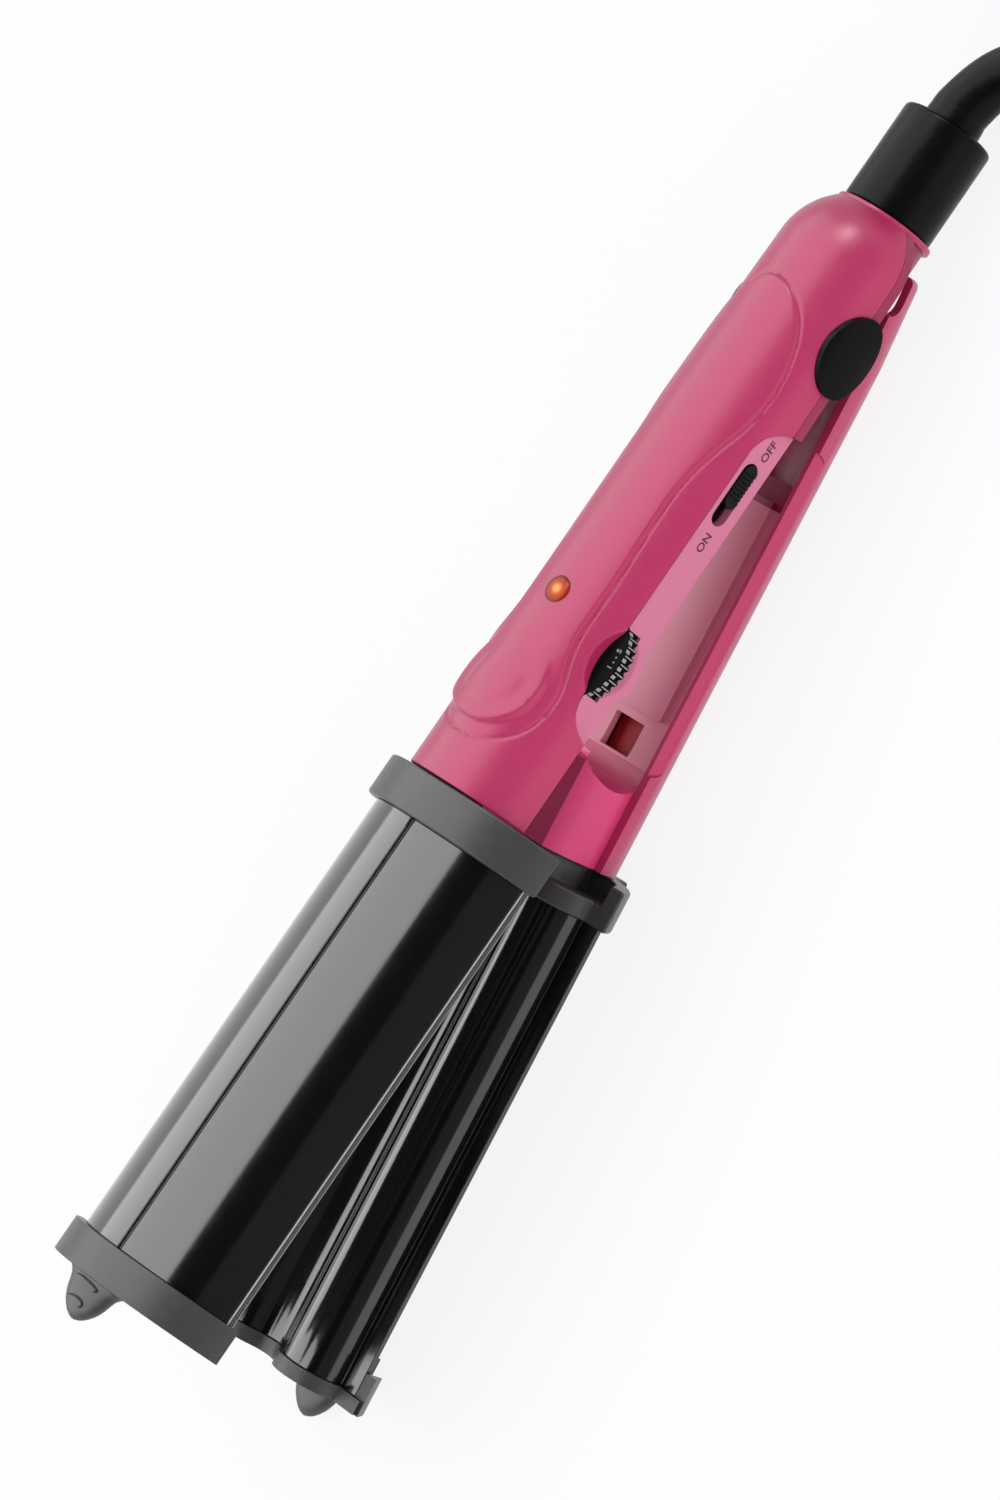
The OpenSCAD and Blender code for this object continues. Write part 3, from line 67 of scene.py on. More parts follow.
# Sizes of the tool in millimetres, as in the part's source
OPEN = math.radians(10)
AXIS_HEIGHT = 20.8
PIVOT_Z = 4.5
HANDLE_R, DOME_R, DOME_X = 19.4, 18.4, -16.5
SLEEVE_FACE, SLEEVE_END, SLEEVE_R, SLEEVE_EDGE = -31.0, -56.6, 11.2, 1.0
TAPER_END, NECK_END = 33.0, 128.0
COVER_EDGE = 4.7
PANEL_START, PANEL_END, PANEL_TOP, PANEL_Y = 22.0, 104.8, 11.0, 16.5
BASE_Z = 2.2
DIAL_X, DIAL_Y, DIAL_Z, DIAL_T, DIAL_R, DIAL_TEETH = 86.6, 7.0, 6.8, 3.8, 12.4, 36
DIAL_TOP = DIAL_Z + DIAL_T
DISH_R, DISH_DIST, DISH_SLOPE = 13.2, 28.6, math.radians(68)
LENS_X, LENS_R = 79.2, 3.3
JAW_START, JAW_END, LOWER_JAW_END = 138.8, 253.4, 256.7
ARCH_R, UPPER_ARCH_Z, LOWER_ARCH_Z, ARCH_WALL = 30.4, -13.8, 15.2, 1.2
BARREL_R, BARREL_Y, BARREL_Z = 8.9, 12.4, -1.2
RIDGE_R, HAIR_GAP, PLATE_T = 5.6, 0.9, 1.4
LIP_Z, JAW_HALF = -0.65, 26.6
SEAM = 0.15
NOSE_TIP = 271.0
SLEEVE_REAR = ((SLEEVE_END + SLEEVE_EDGE) * math.cos(OPEN)
               - (SLEEVE_R - SLEEVE_EDGE - PIVOT_Z) * math.sin(OPEN) - SLEEVE_EDGE)
ORIGIN_X = (NOSE_TIP + SLEEVE_REAR) / 2
CORD_D = 7.0
WINDOW_X, WINDOW_FLOOR = 98.9, -9.8


def swing(x, z):
    """x and z of the closed tool after the turn that opens the upper arm."""
    c, s = math.cos(OPEN), math.sin(OPEN)
    return x * c - z * s, x * s + z * c


def on_lower(points):
    """Millimetres of the closed tool to metres on the lower arm: a plain shift to the model's origin."""
    return (np.asarray(points, float) + (-ORIGIN_X, 0, AXIS_HEIGHT)) / 1000


def on_upper(points):
    """Millimetres of the closed tool to metres on the upper arm: swung about the hinge pin, then shifted."""
    p = np.asarray(points, float) - (0, 0, PIVOT_Z)
    x, z = swing(p[..., 0], p[..., 2])
    return on_lower(np.stack([x, p[..., 1], z + PIVOT_Z], -1))


def on_upper_dir(d):
    """A direction of the closed tool, turned with the upper arm."""
    x, z = swing(d[0], d[2])
    return np.array([x, d[1], z])


def unit(v):
    """The direction of a vector."""
    return v / np.linalg.norm(v)


def ease(t):
    """Smooth step from 0 to 1."""
    t = np.clip(t, 0, 1)
    return t * t * (3 - 2 * t)


def place_object(name, data):
    """A new object in the scene that shows this data."""
    thing = bpy.data.objects.new(name, data)
    bpy.context.scene.collection.objects.link(thing)
    return thing


def set_frame(thing, x_axis, y_axis, z_axis, place):
    """Turns an object to three axes and moves it to a place in metres."""
    m = np.eye(4)
    m[:3] = np.column_stack([x_axis, y_axis, z_axis, place])
    thing.matrix_world = Matrix(m.tolist())


# Camera: the photo looks down on the switch side, from over the jaws, with the tool slanting across it
VIEW_TILT = math.radians(46)
SLANT_DOWN, SLANT_ACROSS = 0.825, 0.565
VIEW_ROLL = math.atan2(SLANT_DOWN, SLANT_ACROSS)
VIEW_DISTANCE, VIEW_OVER_X, VIEW_AIM_X, VIEW_AIM_P = 1548.0, 193.0, 115.0, -4.3
PHOTO_SCALE, PHOTO_HEIGHT, SENSOR_HEIGHT = 4.4985, 1500, 24


def aim_camera():
    """A camera over one place of the upper arm that looks at another, rolled until the arm slants."""
    data = bpy.data.cameras.new("photo_camera")
    camera = place_object("photo_camera", data)
    across = np.array([0, math.sin(VIEW_TILT), -math.cos(VIEW_TILT)])
    toward = np.array([0, math.cos(VIEW_TILT), math.sin(VIEW_TILT)])
    along = np.array([1.0, 0, 0])
    place = VIEW_OVER_X * along + VIEW_AIM_P * across + VIEW_DISTANCE * toward
    back = place - (VIEW_AIM_X * along + VIEW_AIM_P * across)
    reach = np.linalg.norm(back)
    back /= reach
    down = math.sin(VIEW_ROLL) * along + math.cos(VIEW_ROLL) * across
    down -= back * (down @ back)
    down /= np.linalg.norm(down)
    right = np.cross(-down, back)
    set_frame(camera, on_upper_dir(right), on_upper_dir(-down), on_upper_dir(back), on_upper(place))
    data.sensor_fit = "VERTICAL"
    data.sensor_height = SENSOR_HEIGHT
    data.lens = PHOTO_SCALE * reach / PHOTO_HEIGHT * SENSOR_HEIGHT
    data.clip_end = 20
    bpy.context.scene.camera = camera


aim_camera()


# Mesh helpers

SHARP = 38.0
BEVEL_STEPS = 3
MERGE_DISTANCE, FLAT_ANGLE = 2e-6, math.radians(0.6)


def grid_faces(rows, columns, wrap_rows=False, wrap_columns=False):
    """Quads between neighbouring points of a rows by columns grid, as index rows."""
    r = np.arange(rows if wrap_rows else rows - 1)[:, None]
    c = np.arange(columns if wrap_columns else columns - 1)[None, :]
    r1, c1 = (r + 1) % rows, (c + 1) % columns
    quads = [r * columns + c, r * columns + c1, r1 * columns + c1, r1 * columns + c]
    return np.stack(quads, -1).reshape(-1, 4)


def round_steps(count):
    """Angles of even steps once around."""
    return np.linspace(0, FULL_TURN, count, endpoint=False)


def make_piece(name, verts, faces, material, body, slot, replaces=(), sharp=SHARP, bevel=0.0, flip=False):
    """A mesh piece from whole arrays: points in metres, faces as lists of point numbers."""
    mesh = bpy.data.meshes.new(name)
    rows = [list(map(int, f)) for f in faces]
    if flip:
        rows = [f[::-1] for f in rows]
    mesh.from_pydata(np.asarray(verts, float).reshape(-1, 3).tolist(), [], rows)
    mesh.validate()
    return finish_piece(name, mesh, material, body, replaces, sharp, bevel)


def finish_piece(name, mesh, material, body, replaces=(), sharp=SHARP, bevel=0.0):
    """Puts a mesh on its body with its material, soft shading below the sharp angle and rounded edges."""
    mesh.shade_smooth()
    mesh.set_sharp_from_angle(angle=math.radians(sharp))
    mesh.materials.clear()
    mesh.materials.append(material)
    piece = place_object(name, mesh)
    if bevel:
        rounding = piece.modifiers.new("rounded_edges", "BEVEL")
        rounding.width = bevel / 1000
        rounding.segments = BEVEL_STEPS
        rounding.limit_method = "ANGLE"
        rounding.angle_limit = math.radians(sharp)
        rounding.use_clamp_overlap = True
        rounding.harden_normals = True
    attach(piece, body)
    if replaces:
        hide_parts(*replaces)
    return piece


def face_outwards(piece):
    """Turns all faces of a closed shape outwards."""
    work = bmesh.new()
    work.from_mesh(piece.data)
    bmesh.ops.recalc_face_normals(work, faces=work.faces)
    work.to_mesh(piece.data)
    work.free()


def make_prism(name, section, x0, x1, material, place, body, slot, replaces=(), bevel=0.0):
    """A closed outline in y and z carried along x from x0 to x1, with flat ends, as a piece of an arm."""
    s = np.asarray(section, float)
    n = len(s)
    verts = np.concatenate([np.column_stack([np.full(n, x), s]) for x in (x0, x1)])
    ends = [list(range(n))[::-1], list(range(n, 2 * n))]
    faces = list(map(list, grid_faces(2, n, wrap_columns=True)[:, ::-1])) + ends
    piece = make_piece(name, place(verts), faces, material, body, slot, replaces, SHARP, bevel)
    face_outwards(piece)


def join(*parts):
    """Several (points, faces) shapes as one."""
    verts, faces, start = [], [], 0
    for v, f in parts:
        verts.append(np.asarray(v, float).reshape(-1, 3))
        faces += [[int(i) + start for i in face] for face in f]
        start += len(verts[-1])
    return np.concatenate(verts), faces


def lathe(profile, sides=96):
    """A profile of (x, radius) points turned about the handle axis; open at its first and last point."""
    p = np.asarray(profile, float)
    a = round_steps(sides)
    x = np.repeat(p[:, :1], sides, 1)
    verts = np.stack([x, p[:, 1:] * np.sin(a), p[:, 1:] * np.cos(a)], -1)
    return verts.reshape(-1, 3), grid_faces(len(p), sides, wrap_columns=True)


def smooth_line(points, per_span):
    """A Catmull-Rom line through the points, per_span steps to each span."""
    p = np.asarray(points, float)
    q = np.concatenate([2 * p[:1] - p[1:2], p, 2 * p[-1:] - p[-2:-1]])
    t = np.linspace(0, 1, per_span, endpoint=False)[None, :, None]
    a, b, c, d = (q[i:len(q) - 3 + i, None, :] for i in range(4))
    square = (2 * a - 5 * b + 4 * c - d) * t**2
    cube = (3 * b - a - 3 * c + d) * t**3
    line = 0.5 * (2 * b + (c - a) * t + square + cube)
    return np.concatenate([line.reshape(-1, p.shape[1]), p[-1:]])


def tube(path, radii, sides):
    """A round tube: at each path point a circle square to the path, its first point turned towards up."""
    p = np.asarray(path, float)
    t = np.gradient(p, axis=0)
    t /= np.linalg.norm(t, axis=1, keepdims=True)
    side = np.cross(t, (0, 0, 1.0))
    side /= np.linalg.norm(side, axis=1, keepdims=True)
    up = np.cross(side, t)
    a = round_steps(sides)[None, :, None]
    r = np.broadcast_to(np.asarray(radii, float).reshape(-1, 1, 1), (len(p), 1, 1))
    verts = p[:, None, :] + r * (np.cos(a) * up[:, None, :] + np.sin(a) * side[:, None, :])
    ends = [list(range(sides))[::-1], list(range((len(p) - 1) * sides, len(p) * sides))]
    faces = list(map(list, grid_faces(len(p), sides, wrap_columns=True))) + ends
    return verts.reshape(-1, 3), faces


def dressed(node, material, bevel, name=None):
    """A merged copy of a solid with rounded edges, which stands for it."""
    mesh = NODES[node].data.copy()
    work = bmesh.new()
    work.from_mesh(mesh)
    bmesh.ops.remove_doubles(work, verts=work.verts, dist=MERGE_DISTANCE)
    bmesh.ops.dissolve_limit(work, angle_limit=FLAT_ANGLE, verts=work.verts, edges=work.edges)
    work.to_mesh(mesh)
    work.free()
    body = NODES[node]["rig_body"]
    return finish_piece(name or node + "_skin", mesh, material, body, (node,), SHARP, bevel)


# Material helpers

GRAIN_HEIGHT = 0.00012
COARSE_GRAINS, SCUFFS = 0.3, 9.0
SCUFF_LOW, SCUFF_HIGH = 0.3, 0.7
COAT_ROUGHNESS = 0.05


def linear(r, g, b):
    """Screen colour from 0 to 255 to the linear colour that shaders take, with full cover."""
    c = np.array([r, g, b]) / 255
    return (*np.where(c <= 0.04045, c / 12.92, ((c + 0.055) / 1.055) ** 2.4), 1)


def new_material(name):
    """A material with nodes: the material itself, its tree and its main shader."""
    material = bpy.data.materials.new(name)
    material.use_nodes = True
    tree = material.node_tree
    return material, tree, tree.nodes["Principled BSDF"]


def new_group(name, inputs, outputs):
    """A shader node group with named number inputs and outputs; gives the tree and its two ends."""
    tree = bpy.data.node_groups.new(name, "ShaderNodeTree")
    for label, value in inputs:
        socket = tree.interface.new_socket(label, in_out="INPUT", socket_type="NodeSocketFloat")
        socket.default_value = value
    for label in outputs:
        tree.interface.new_socket(label, in_out="OUTPUT", socket_type="NodeSocketFloat")
    return tree, tree.nodes.new("NodeGroupInput"), tree.nodes.new("NodeGroupOutput")


def math_node(tree, operation, *values):
    """One calculation with two values, each a socket or a plain number."""
    node = tree.nodes.new("ShaderNodeMath")
    node.operation = operation
    for socket, value in zip(node.inputs, values):
        if isinstance(value, (int, float)):
            socket.default_value = value
        else:
            tree.links.new(value, socket)
    return node.outputs[0]


def colour_mix(tree, factor, *colours):
    """Two colours mixed by a factor; each is a screen colour or the socket of another node."""
    mix = tree.nodes.new("ShaderNodeMix")
    mix.data_type = "RGBA"
    for label, colour in zip("AB", colours):
        if isinstance(colour, tuple):
            mix.inputs[label].default_value = linear(*colour)
        else:
            tree.links.new(colour, mix.inputs[label])
    tree.links.new(factor, mix.inputs["Factor"])
    return mix.outputs["Result"]


def noise_node(tree, scale, detail, roughness=0.5):
    """Noise over the piece's own metres; scale is the socket with the number of features per metre."""
    place = tree.nodes.new("ShaderNodeTexCoord")
    node = tree.nodes.new("ShaderNodeTexNoise")
    node.inputs["Detail"].default_value = detail
    node.inputs["Roughness"].default_value = roughness
    tree.links.new(place.outputs["Object"], node.inputs["Vector"])
    tree.links.new(scale, node.inputs["Scale"])
    return node.outputs["Fac"]


def moulded_grain():
    """Fine pebbled mould texture: two noises a factor apart, added; also a slow tone and scuffs."""
    tree, enter, leave = new_group("moulded_grain", [("Grain", 2500.0), ("Tone", 40.0)],
                                   ["Height", "Tone", "Scuff"])
    grain, tone = enter.outputs["Grain"], enter.outputs["Tone"]
    fine = noise_node(tree, grain, detail=1.0)
    coarse = noise_node(tree, math_node(tree, "MULTIPLY", grain, COARSE_GRAINS), detail=1.0)
    scuff = noise_node(tree, math_node(tree, "MULTIPLY", tone, SCUFFS), detail=4.0, roughness=0.65)
    tree.links.new(math_node(tree, "ADD", fine, coarse), leave.inputs["Height"])
    tree.links.new(noise_node(tree, tone, detail=3.0), leave.inputs["Tone"])
    tree.links.new(scuff, leave.inputs["Scuff"])
    return tree


GRAIN = moulded_grain()


def moulded(name, colour, second, rough, rough_span, grain, depth,
            tone=40.0, coat=0.0, ior=1.5, level=0.5, metal=0.0):
    """A moulded or coated finish: two close colours mixed by slow tone, scuffed gloss, fine grain."""
    material, tree, shader = new_material(name)
    group = tree.nodes.new("ShaderNodeGroup")
    group.node_tree = GRAIN
    group.inputs["Grain"].default_value = grain
    group.inputs["Tone"].default_value = tone
    tree.links.new(colour_mix(tree, group.outputs["Tone"], colour, second), shader.inputs["Base Color"])
    gloss = tree.nodes.new("ShaderNodeMapRange")
    gloss.inputs["From Min"].default_value = SCUFF_LOW
    gloss.inputs["From Max"].default_value = SCUFF_HIGH
    gloss.inputs["To Min"].default_value = rough - rough_span
    gloss.inputs["To Max"].default_value = rough + rough_span
    tree.links.new(group.outputs["Scuff"], gloss.inputs["Value"])
    tree.links.new(gloss.outputs["Result"], shader.inputs["Roughness"])
    bump = tree.nodes.new("ShaderNodeBump")
    bump.inputs["Strength"].default_value = depth
    bump.inputs["Distance"].default_value = GRAIN_HEIGHT
    tree.links.new(group.outputs["Height"], bump.inputs["Height"])
    tree.links.new(bump.outputs["Normal"], shader.inputs["Normal"])
    shader.inputs["IOR"].default_value = ior
    shader.inputs["Specular IOR Level"].default_value = level
    shader.inputs["Metallic"].default_value = metal
    shader.inputs["Coat Weight"].default_value = coat
    shader.inputs["Coat Roughness"].default_value = COAT_ROUGHNESS
    return material


# Finishes: two close colours, roughness and its span, grains per metre and their strength

PINK = moulded("pink_satin", (175, 43, 91), (171, 41, 88), 0.34, 0.04, 2600, 0.10)
# Red of the shaded hollow behind the lower arm's window: painted shade for a sheet under the window
WINDOW_SHADE_RED = moulded("window_shade_red", (168, 40, 52), (160, 36, 48), 0.5, 0.05, 2200, 0.12, level=0.2)
GREY = moulded("grey_satin", (62, 60, 62), (55, 53, 55), 0.38, 0.05, 2400, 0.14)
JAW_BLACK = moulded("jaw_black", (14, 12, 11), (10, 9, 8), 0.14, 0.02, 900, 0.02,
                    tone=25, coat=0.4, ior=1.7)
PLATE_BLACK = moulded("plate_black", (14, 12, 11), (10, 9, 8), 0.13, 0.03, 1200, 0.03,
                      tone=25, coat=0.4, ior=1.7)
SATIN_BLACK = moulded("satin_black", (10, 9, 9), (6, 5, 5), 0.34, 0.05, 1900, 0.30, level=0.12)
DIAL_BLACK = moulded("dial_black", (8, 8, 8), (5, 5, 5), 0.5, 0.05, 1900, 0.2, level=0.05)
RUBBER = moulded("cord_rubber", (10, 9, 9), (6, 5, 5), 0.38, 0.06, 1500, 0.12, level=0.12)
STEEL = moulded("plain_steel", (170, 170, 172), (150, 150, 153), 0.32, 0.06, 3000, 0.1, metal=1.0)
BRASS = moulded("plain_brass", (205, 170, 95), (190, 152, 80), 0.3, 0.06, 3000, 0.1, metal=1.0)
BOARD = moulded("board_green", (40, 95, 60), (34, 84, 52), 0.4, 0.05, 2000, 0.1)
CERAMIC = moulded("fired_ceramic", (226, 220, 205), (216, 208, 190), 0.6, 0.08, 2500, 0.2)
PRINT = moulded("print_dark", (92, 44, 58), (86, 40, 52), 0.5, 0.05, 2500, 0.1, level=0.2)
# Dark of the shade in the nose's slots: painted shade
SLOT_SHADE_DARK = moulded("slot_shade_dark", (26, 24, 25), (20, 18, 19), 0.5, 0.05, 2500, 0.1, level=0.2)
# Pale grey of the dial's print and of the painted highlights on its teeth
MARK_AND_GLINT = moulded("mark_and_glint_grey", (150, 148, 150), (136, 134, 136), 0.5, 0.05, 2500, 0.1, level=0.2)

# The lens glows around a middle just over the handle: share of the glow's radius and colour there
GLOW_R, GLOW_Y, GLOW_LIFT = 3.6, 0.5, 1.6
GLOW_STEPS = [(0.08, (250, 178, 96)), (0.42, (196, 66, 18)), (0.95, (96, 20, 8))]
GLOW_STRENGTH, LENS_ROUGHNESS, LENS_LEVEL = 0.1, 0.2, 0.2


def amber_lens():
    """Amber lens: the glow is brightest at the middle and falls off towards the rim."""
    material, tree, shader = new_material("amber_lens")
    place = tree.nodes.new("ShaderNodeTexCoord")
    shift = tree.nodes.new("ShaderNodeMapping")
    middle = on_upper((LENS_X, GLOW_Y, HANDLE_R + GLOW_LIFT))
    shift.inputs["Location"].default_value = [-float(v) for v in middle]
    tree.links.new(place.outputs["Object"], shift.inputs["Vector"])
    far = tree.nodes.new("ShaderNodeVectorMath")
    far.operation = "LENGTH"
    tree.links.new(shift.outputs["Vector"], far.inputs[0])
    ramp = tree.nodes.new("ShaderNodeValToRGB")
    steps = ramp.color_ramp.elements
    steps.new(0.5)
    for step, (position, colour) in zip(steps, GLOW_STEPS):
        step.position = position
        step.color = linear(*colour)
    tree.links.new(math_node(tree, "MULTIPLY", far.outputs["Value"], 1000 / GLOW_R), ramp.inputs["Fac"])
    tree.links.new(ramp.outputs["Color"], shader.inputs["Base Color"])
    tree.links.new(ramp.outputs["Color"], shader.inputs["Emission Color"])
    shader.inputs["Emission Strength"].default_value = GLOW_STRENGTH
    shader.inputs["Roughness"].default_value = LENS_ROUGHNESS
    shader.inputs["Specular IOR Level"].default_value = LENS_LEVEL
    return material


AMBER = amber_lens()
# Painted light and shade for the ends of the inner pinks: a clearer pink lit up against the shade at the
# neck, and a deep pink for the shade in the gap by the hinge
NECK_LIGHT_PINK, HINGE_SHADE_PINK = (198, 55, 108), (140, 30, 68)
# Where the painted sheen of the tongue and of the panel starts and ends along the tool
TONGUE_SHEEN_START, TONGUE_SHEEN_END = 38.6, 103.6
PANEL_SHEEN_START, PANEL_SHEEN_END, PANEL_SHEEN_Z = 22.4, 105.4, 4


def sheen_shade_and_light_pinks(name, pale, second, start, end):
    """Inner parts of the handle with painted light and shade along the tool: pale pink between two places
    (painted sheen and near-side light), deep pink before them (painted shade by the hinge) and clear pink
    after them (painted light against the shade at the neck).
    """
    material = moulded(name, pale, second, 0.36, 0.04, 2600, 0.10)
    tree = material.node_tree
    colour = tree.nodes["Principled BSDF"].inputs["Base Color"]
    tone = colour.links[0].from_socket
    place = tree.nodes.new("ShaderNodeTexCoord")
    parts = tree.nodes.new("ShaderNodeSeparateXYZ")
    tree.links.new(place.outputs["Object"], parts.inputs["Vector"])
    # After the end the clear pink is painted light, before the start the deep pink is painted shade
    for operation, edge, painted_end_pink in (("LESS_THAN", end, NECK_LIGHT_PINK), ("GREATER_THAN", start, HINGE_SHADE_PINK)):
        within = math_node(tree, operation, parts.outputs["X"], float(edge))
        tone = colour_mix(tree, within, painted_end_pink, tone)
    tree.links.new(tone, colour)
    return material


# Pale pink of the lower arm's tongue and of the switch panel: painted sheen and near-side light
PINK_TONGUE_SHEEN = sheen_shade_and_light_pinks("pink_tongue_sheen", (224, 134, 160), (218, 128, 154),
                        on_lower((TONGUE_SHEEN_START, 0, 0))[0], on_lower((TONGUE_SHEEN_END, 0, 0))[0])
PINK_PANEL_SHEEN = sheen_shade_and_light_pinks("pink_panel_sheen", (196, 108, 140), (190, 102, 134),
                       on_upper((PANEL_SHEEN_START, 0, PANEL_SHEEN_Z))[0], on_upper((PANEL_SHEEN_END, 0, PANEL_SHEEN_Z))[0])


# Lead: strain relief, free stretch, stored coil, tie and plug, in millimetres of the model

RELIEF_ROUTE = [(-172.3, 1.2, 8.9), (-175.7, 2.8, 8.4), (-178.6, 4.8, 7.9), (-181.3, 7.5, 7.4),
                (-183.6, 11, 7), (-185.5, 14.6, 6.7), (-187.3, 18.4, 6.5)]
RELIEF_STEPS_OUT = (-2, 0, 2.5, 5)
RELIEF_R, RELIEF_END_R, RELIEF_STRAIGHT = 6.9, 5.7, 0.12
RELIEF_ROUND_FROM, RELIEF_ROUND = 0.985, 0.5
RELIEF_HEADING, LEAD_BEND, LEAD_BEND_R, LEAD_RUN = math.radians(115), math.radians(57), 28.0, 18.0
COIL_R_MIN, COIL_PITCH, COIL_LAYER_TURNS, COIL_LAYERS = 20.0, 7.6, 2.27, 4
LAY_Z, COIL_LAYER, COIL_TAIL = 4.7, 7.6, 44.0
COIL_START = RELIEF_HEADING + LEAD_BEND - math.pi / 2
LAYER_ANGLE = COIL_LAYER_TURNS * 2 * math.pi
COIL_END = COIL_LAYERS * LAYER_ANGLE
COIL_POINTS, TAIL_POINTS, SMALL_TURN = 436, 17, 0.01
TAIL_STEEPNESS, TAIL_DELAY = 1.08, 0.04
STRAP_GAP, STRAP_LIFT, STRAP_T, STRAP_HALF_W = 1.6, 0.4, 1, 4.0
STRAP_PLACE, STRAP_CORNER, STRAP_POINTS = math.radians(270), 0.28, 96


def lead_bend(a):
    """Left bend of the lead on the floor: the place after a turn by a, sinking to the floor on the way."""
    a = np.asarray(a, float)
    x0, y0, z0 = RELIEF_ROUTE[-1]
    x = x0 + LEAD_BEND_R * (np.sin(RELIEF_HEADING + a) - math.sin(RELIEF_HEADING))
    y = y0 - LEAD_BEND_R * (np.cos(RELIEF_HEADING + a) - math.cos(RELIEF_HEADING))
    return np.stack([x, y, LAY_Z + (z0 - LAY_Z) * (1 - a / LEAD_BEND) ** 2], -1)


def coil_radius(a):
    """Radius of the coil's turns: layers wind in and out by turns."""
    t = np.asarray(a, float) / LAYER_ANGLE
    k = np.minimum(np.floor(t), COIL_LAYERS - 1)
    outward = np.where(k % 2 == 0, 1 - (t - k), t - k)
    return COIL_R_MIN + COIL_PITCH * COIL_LAYER_TURNS * outward


lead_dir = np.array([math.cos(RELIEF_HEADING + LEAD_BEND), math.sin(RELIEF_HEADING + LEAD_BEND), 0])
coil_centre = lead_bend(LEAD_BEND) + (LEAD_RUN + CORD_D) * lead_dir
coil_centre -= coil_radius(0) * np.array([math.cos(COIL_START), math.sin(COIL_START), 0])


def coil_point(a):
    """The stored coil: turns about its middle that climb a layer in the half turn between two layers."""
    a = np.asarray(a, float)
    r = coil_radius(a)
    changes = np.arange(1, COIL_LAYERS) * LAYER_ANGLE
    climbs = np.clip((a[..., None] - changes + math.pi / 2) / math.pi, 0, 1).sum(-1)
    x = coil_centre[0] + r * np.cos(COIL_START + a)
    y = coil_centre[1] + r * np.sin(COIL_START + a)
    return np.stack([x, y, LAY_Z + COIL_LAYER * climbs], -1)


def lead_route():
    """The lead's middle line: the bend on the floor, a straight run, the coil and a tail that sinks."""
    turns = coil_point(np.linspace(0, COIL_END, COIL_POINTS))
    first_dir = unit(coil_point(SMALL_TURN) - coil_point(0.0))
    last_dir = unit(coil_point(COIL_END) - coil_point(COIL_END - SMALL_TURN))
    first = turns[0] - CORD_D * first_dir
    share = np.linspace(0, 1, TAIL_POINTS)[1:, None]
    tail = turns[-1] + share * COIL_TAIL * last_dir
    sunk = ease(share * TAIL_STEEPNESS - TAIL_DELAY)
    tail -= (COIL_LAYERS - 2) * COIL_LAYER * sunk * np.array([0, 0, 1])
    run = [first - LEAD_RUN / 2 * first_dir, first - 0.7 * CORD_D * first_dir, first]
    free = smooth_line([*lead_bend(np.linspace(0, LEAD_BEND, 8)), *run], per_span=3)
    return np.concatenate([free, turns, tail])


def strain_relief():
    """Strain relief: a round tube out of the sleeve that narrows along its way and has a rounded end."""
    exit_point = on_upper((SLEEVE_END, 0, 0)) * 1000
    exit_dir = on_upper_dir((-1, 0, 0))
    way_out = [exit_point + step * exit_dir for step in RELIEF_STEPS_OUT]
    line = smooth_line([*way_out, *RELIEF_ROUTE], per_span=5)
    share = np.linspace(0, 1, len(line))
    narrowing = np.clip((share - RELIEF_STRAIGHT) / (1 - RELIEF_STRAIGHT), 0, 1)
    r = RELIEF_R + (RELIEF_END_R - RELIEF_R) * narrowing
    r = np.where(share > RELIEF_ROUND_FROM, r - RELIEF_ROUND, r)
    return tube(line / 1000, r / 1000, sides=40)


def tie_strap():
    """Flat strap round the coil's turns: a rounded oblong carried across the strap's width, with a wall."""
    r0 = COIL_R_MIN - CORD_D / 2 - STRAP_GAP
    r1 = float(coil_radius(0)) + CORD_D / 2 + STRAP_GAP
    top = LAY_Z + (COIL_LAYERS - 1) * COIL_LAYER + CORD_D / 2 + STRAP_LIFT
    a = round_steps(STRAP_POINTS)
    mid_r, mid_z = (r0 + r1) / 2, (top + STRAP_T) / 2
    inner_half, outer_half = ((r1 - r0) / 2, (top - STRAP_T) / 2), ((r1 - r0) / 2 + STRAP_T, mid_z)
    rings = []
    for half_r, half_z in (inner_half, outer_half):
        c = np.sign(np.cos(a)) * np.abs(np.cos(a)) ** STRAP_CORNER * half_r + mid_r
        s = np.sign(np.sin(a)) * np.abs(np.sin(a)) ** STRAP_CORNER * half_z + mid_z
        rings.append(np.stack([c, s], -1))
    inner, outer = rings
    loop = np.stack([inner, inner, outer, outer])
    shift = STRAP_HALF_W * np.array([-1, 1, 1, -1])[:, None]
    x = loop[..., 0] * math.cos(STRAP_PLACE) - shift * math.sin(STRAP_PLACE) + coil_centre[0]
    y = loop[..., 0] * math.sin(STRAP_PLACE) + shift * math.cos(STRAP_PLACE) + coil_centre[1]
    verts = np.stack([x, y, loop[..., 1]], -1).reshape(-1, 3)
    return verts / 1000, grid_faces(4, len(a), wrap_rows=True, wrap_columns=True)


cord_line = lead_route()
cord = make_piece("mains_lead", *tube(cord_line / 1000, CORD_D / 2000, sides=14), RUBBER,
                  "upper_arm", "cord_rubber", ("cord_lead", "cord_coil"))
make_piece("cord_relief", *strain_relief(), RUBBER, "upper_arm", "cord_rubber", ("strain_relief",))
tie = make_piece("lead_tie", *tie_strap(), RUBBER, "upper_arm", "cord_rubber", ("cord_tie",), bevel=0.25)
plug = dressed("plug_body", RUBBER, bevel=1.6, name="lead_plug")
blades = dressed("plug_blades", BRASS, bevel=0.2, name="lead_plug_blades")


# Upper handle

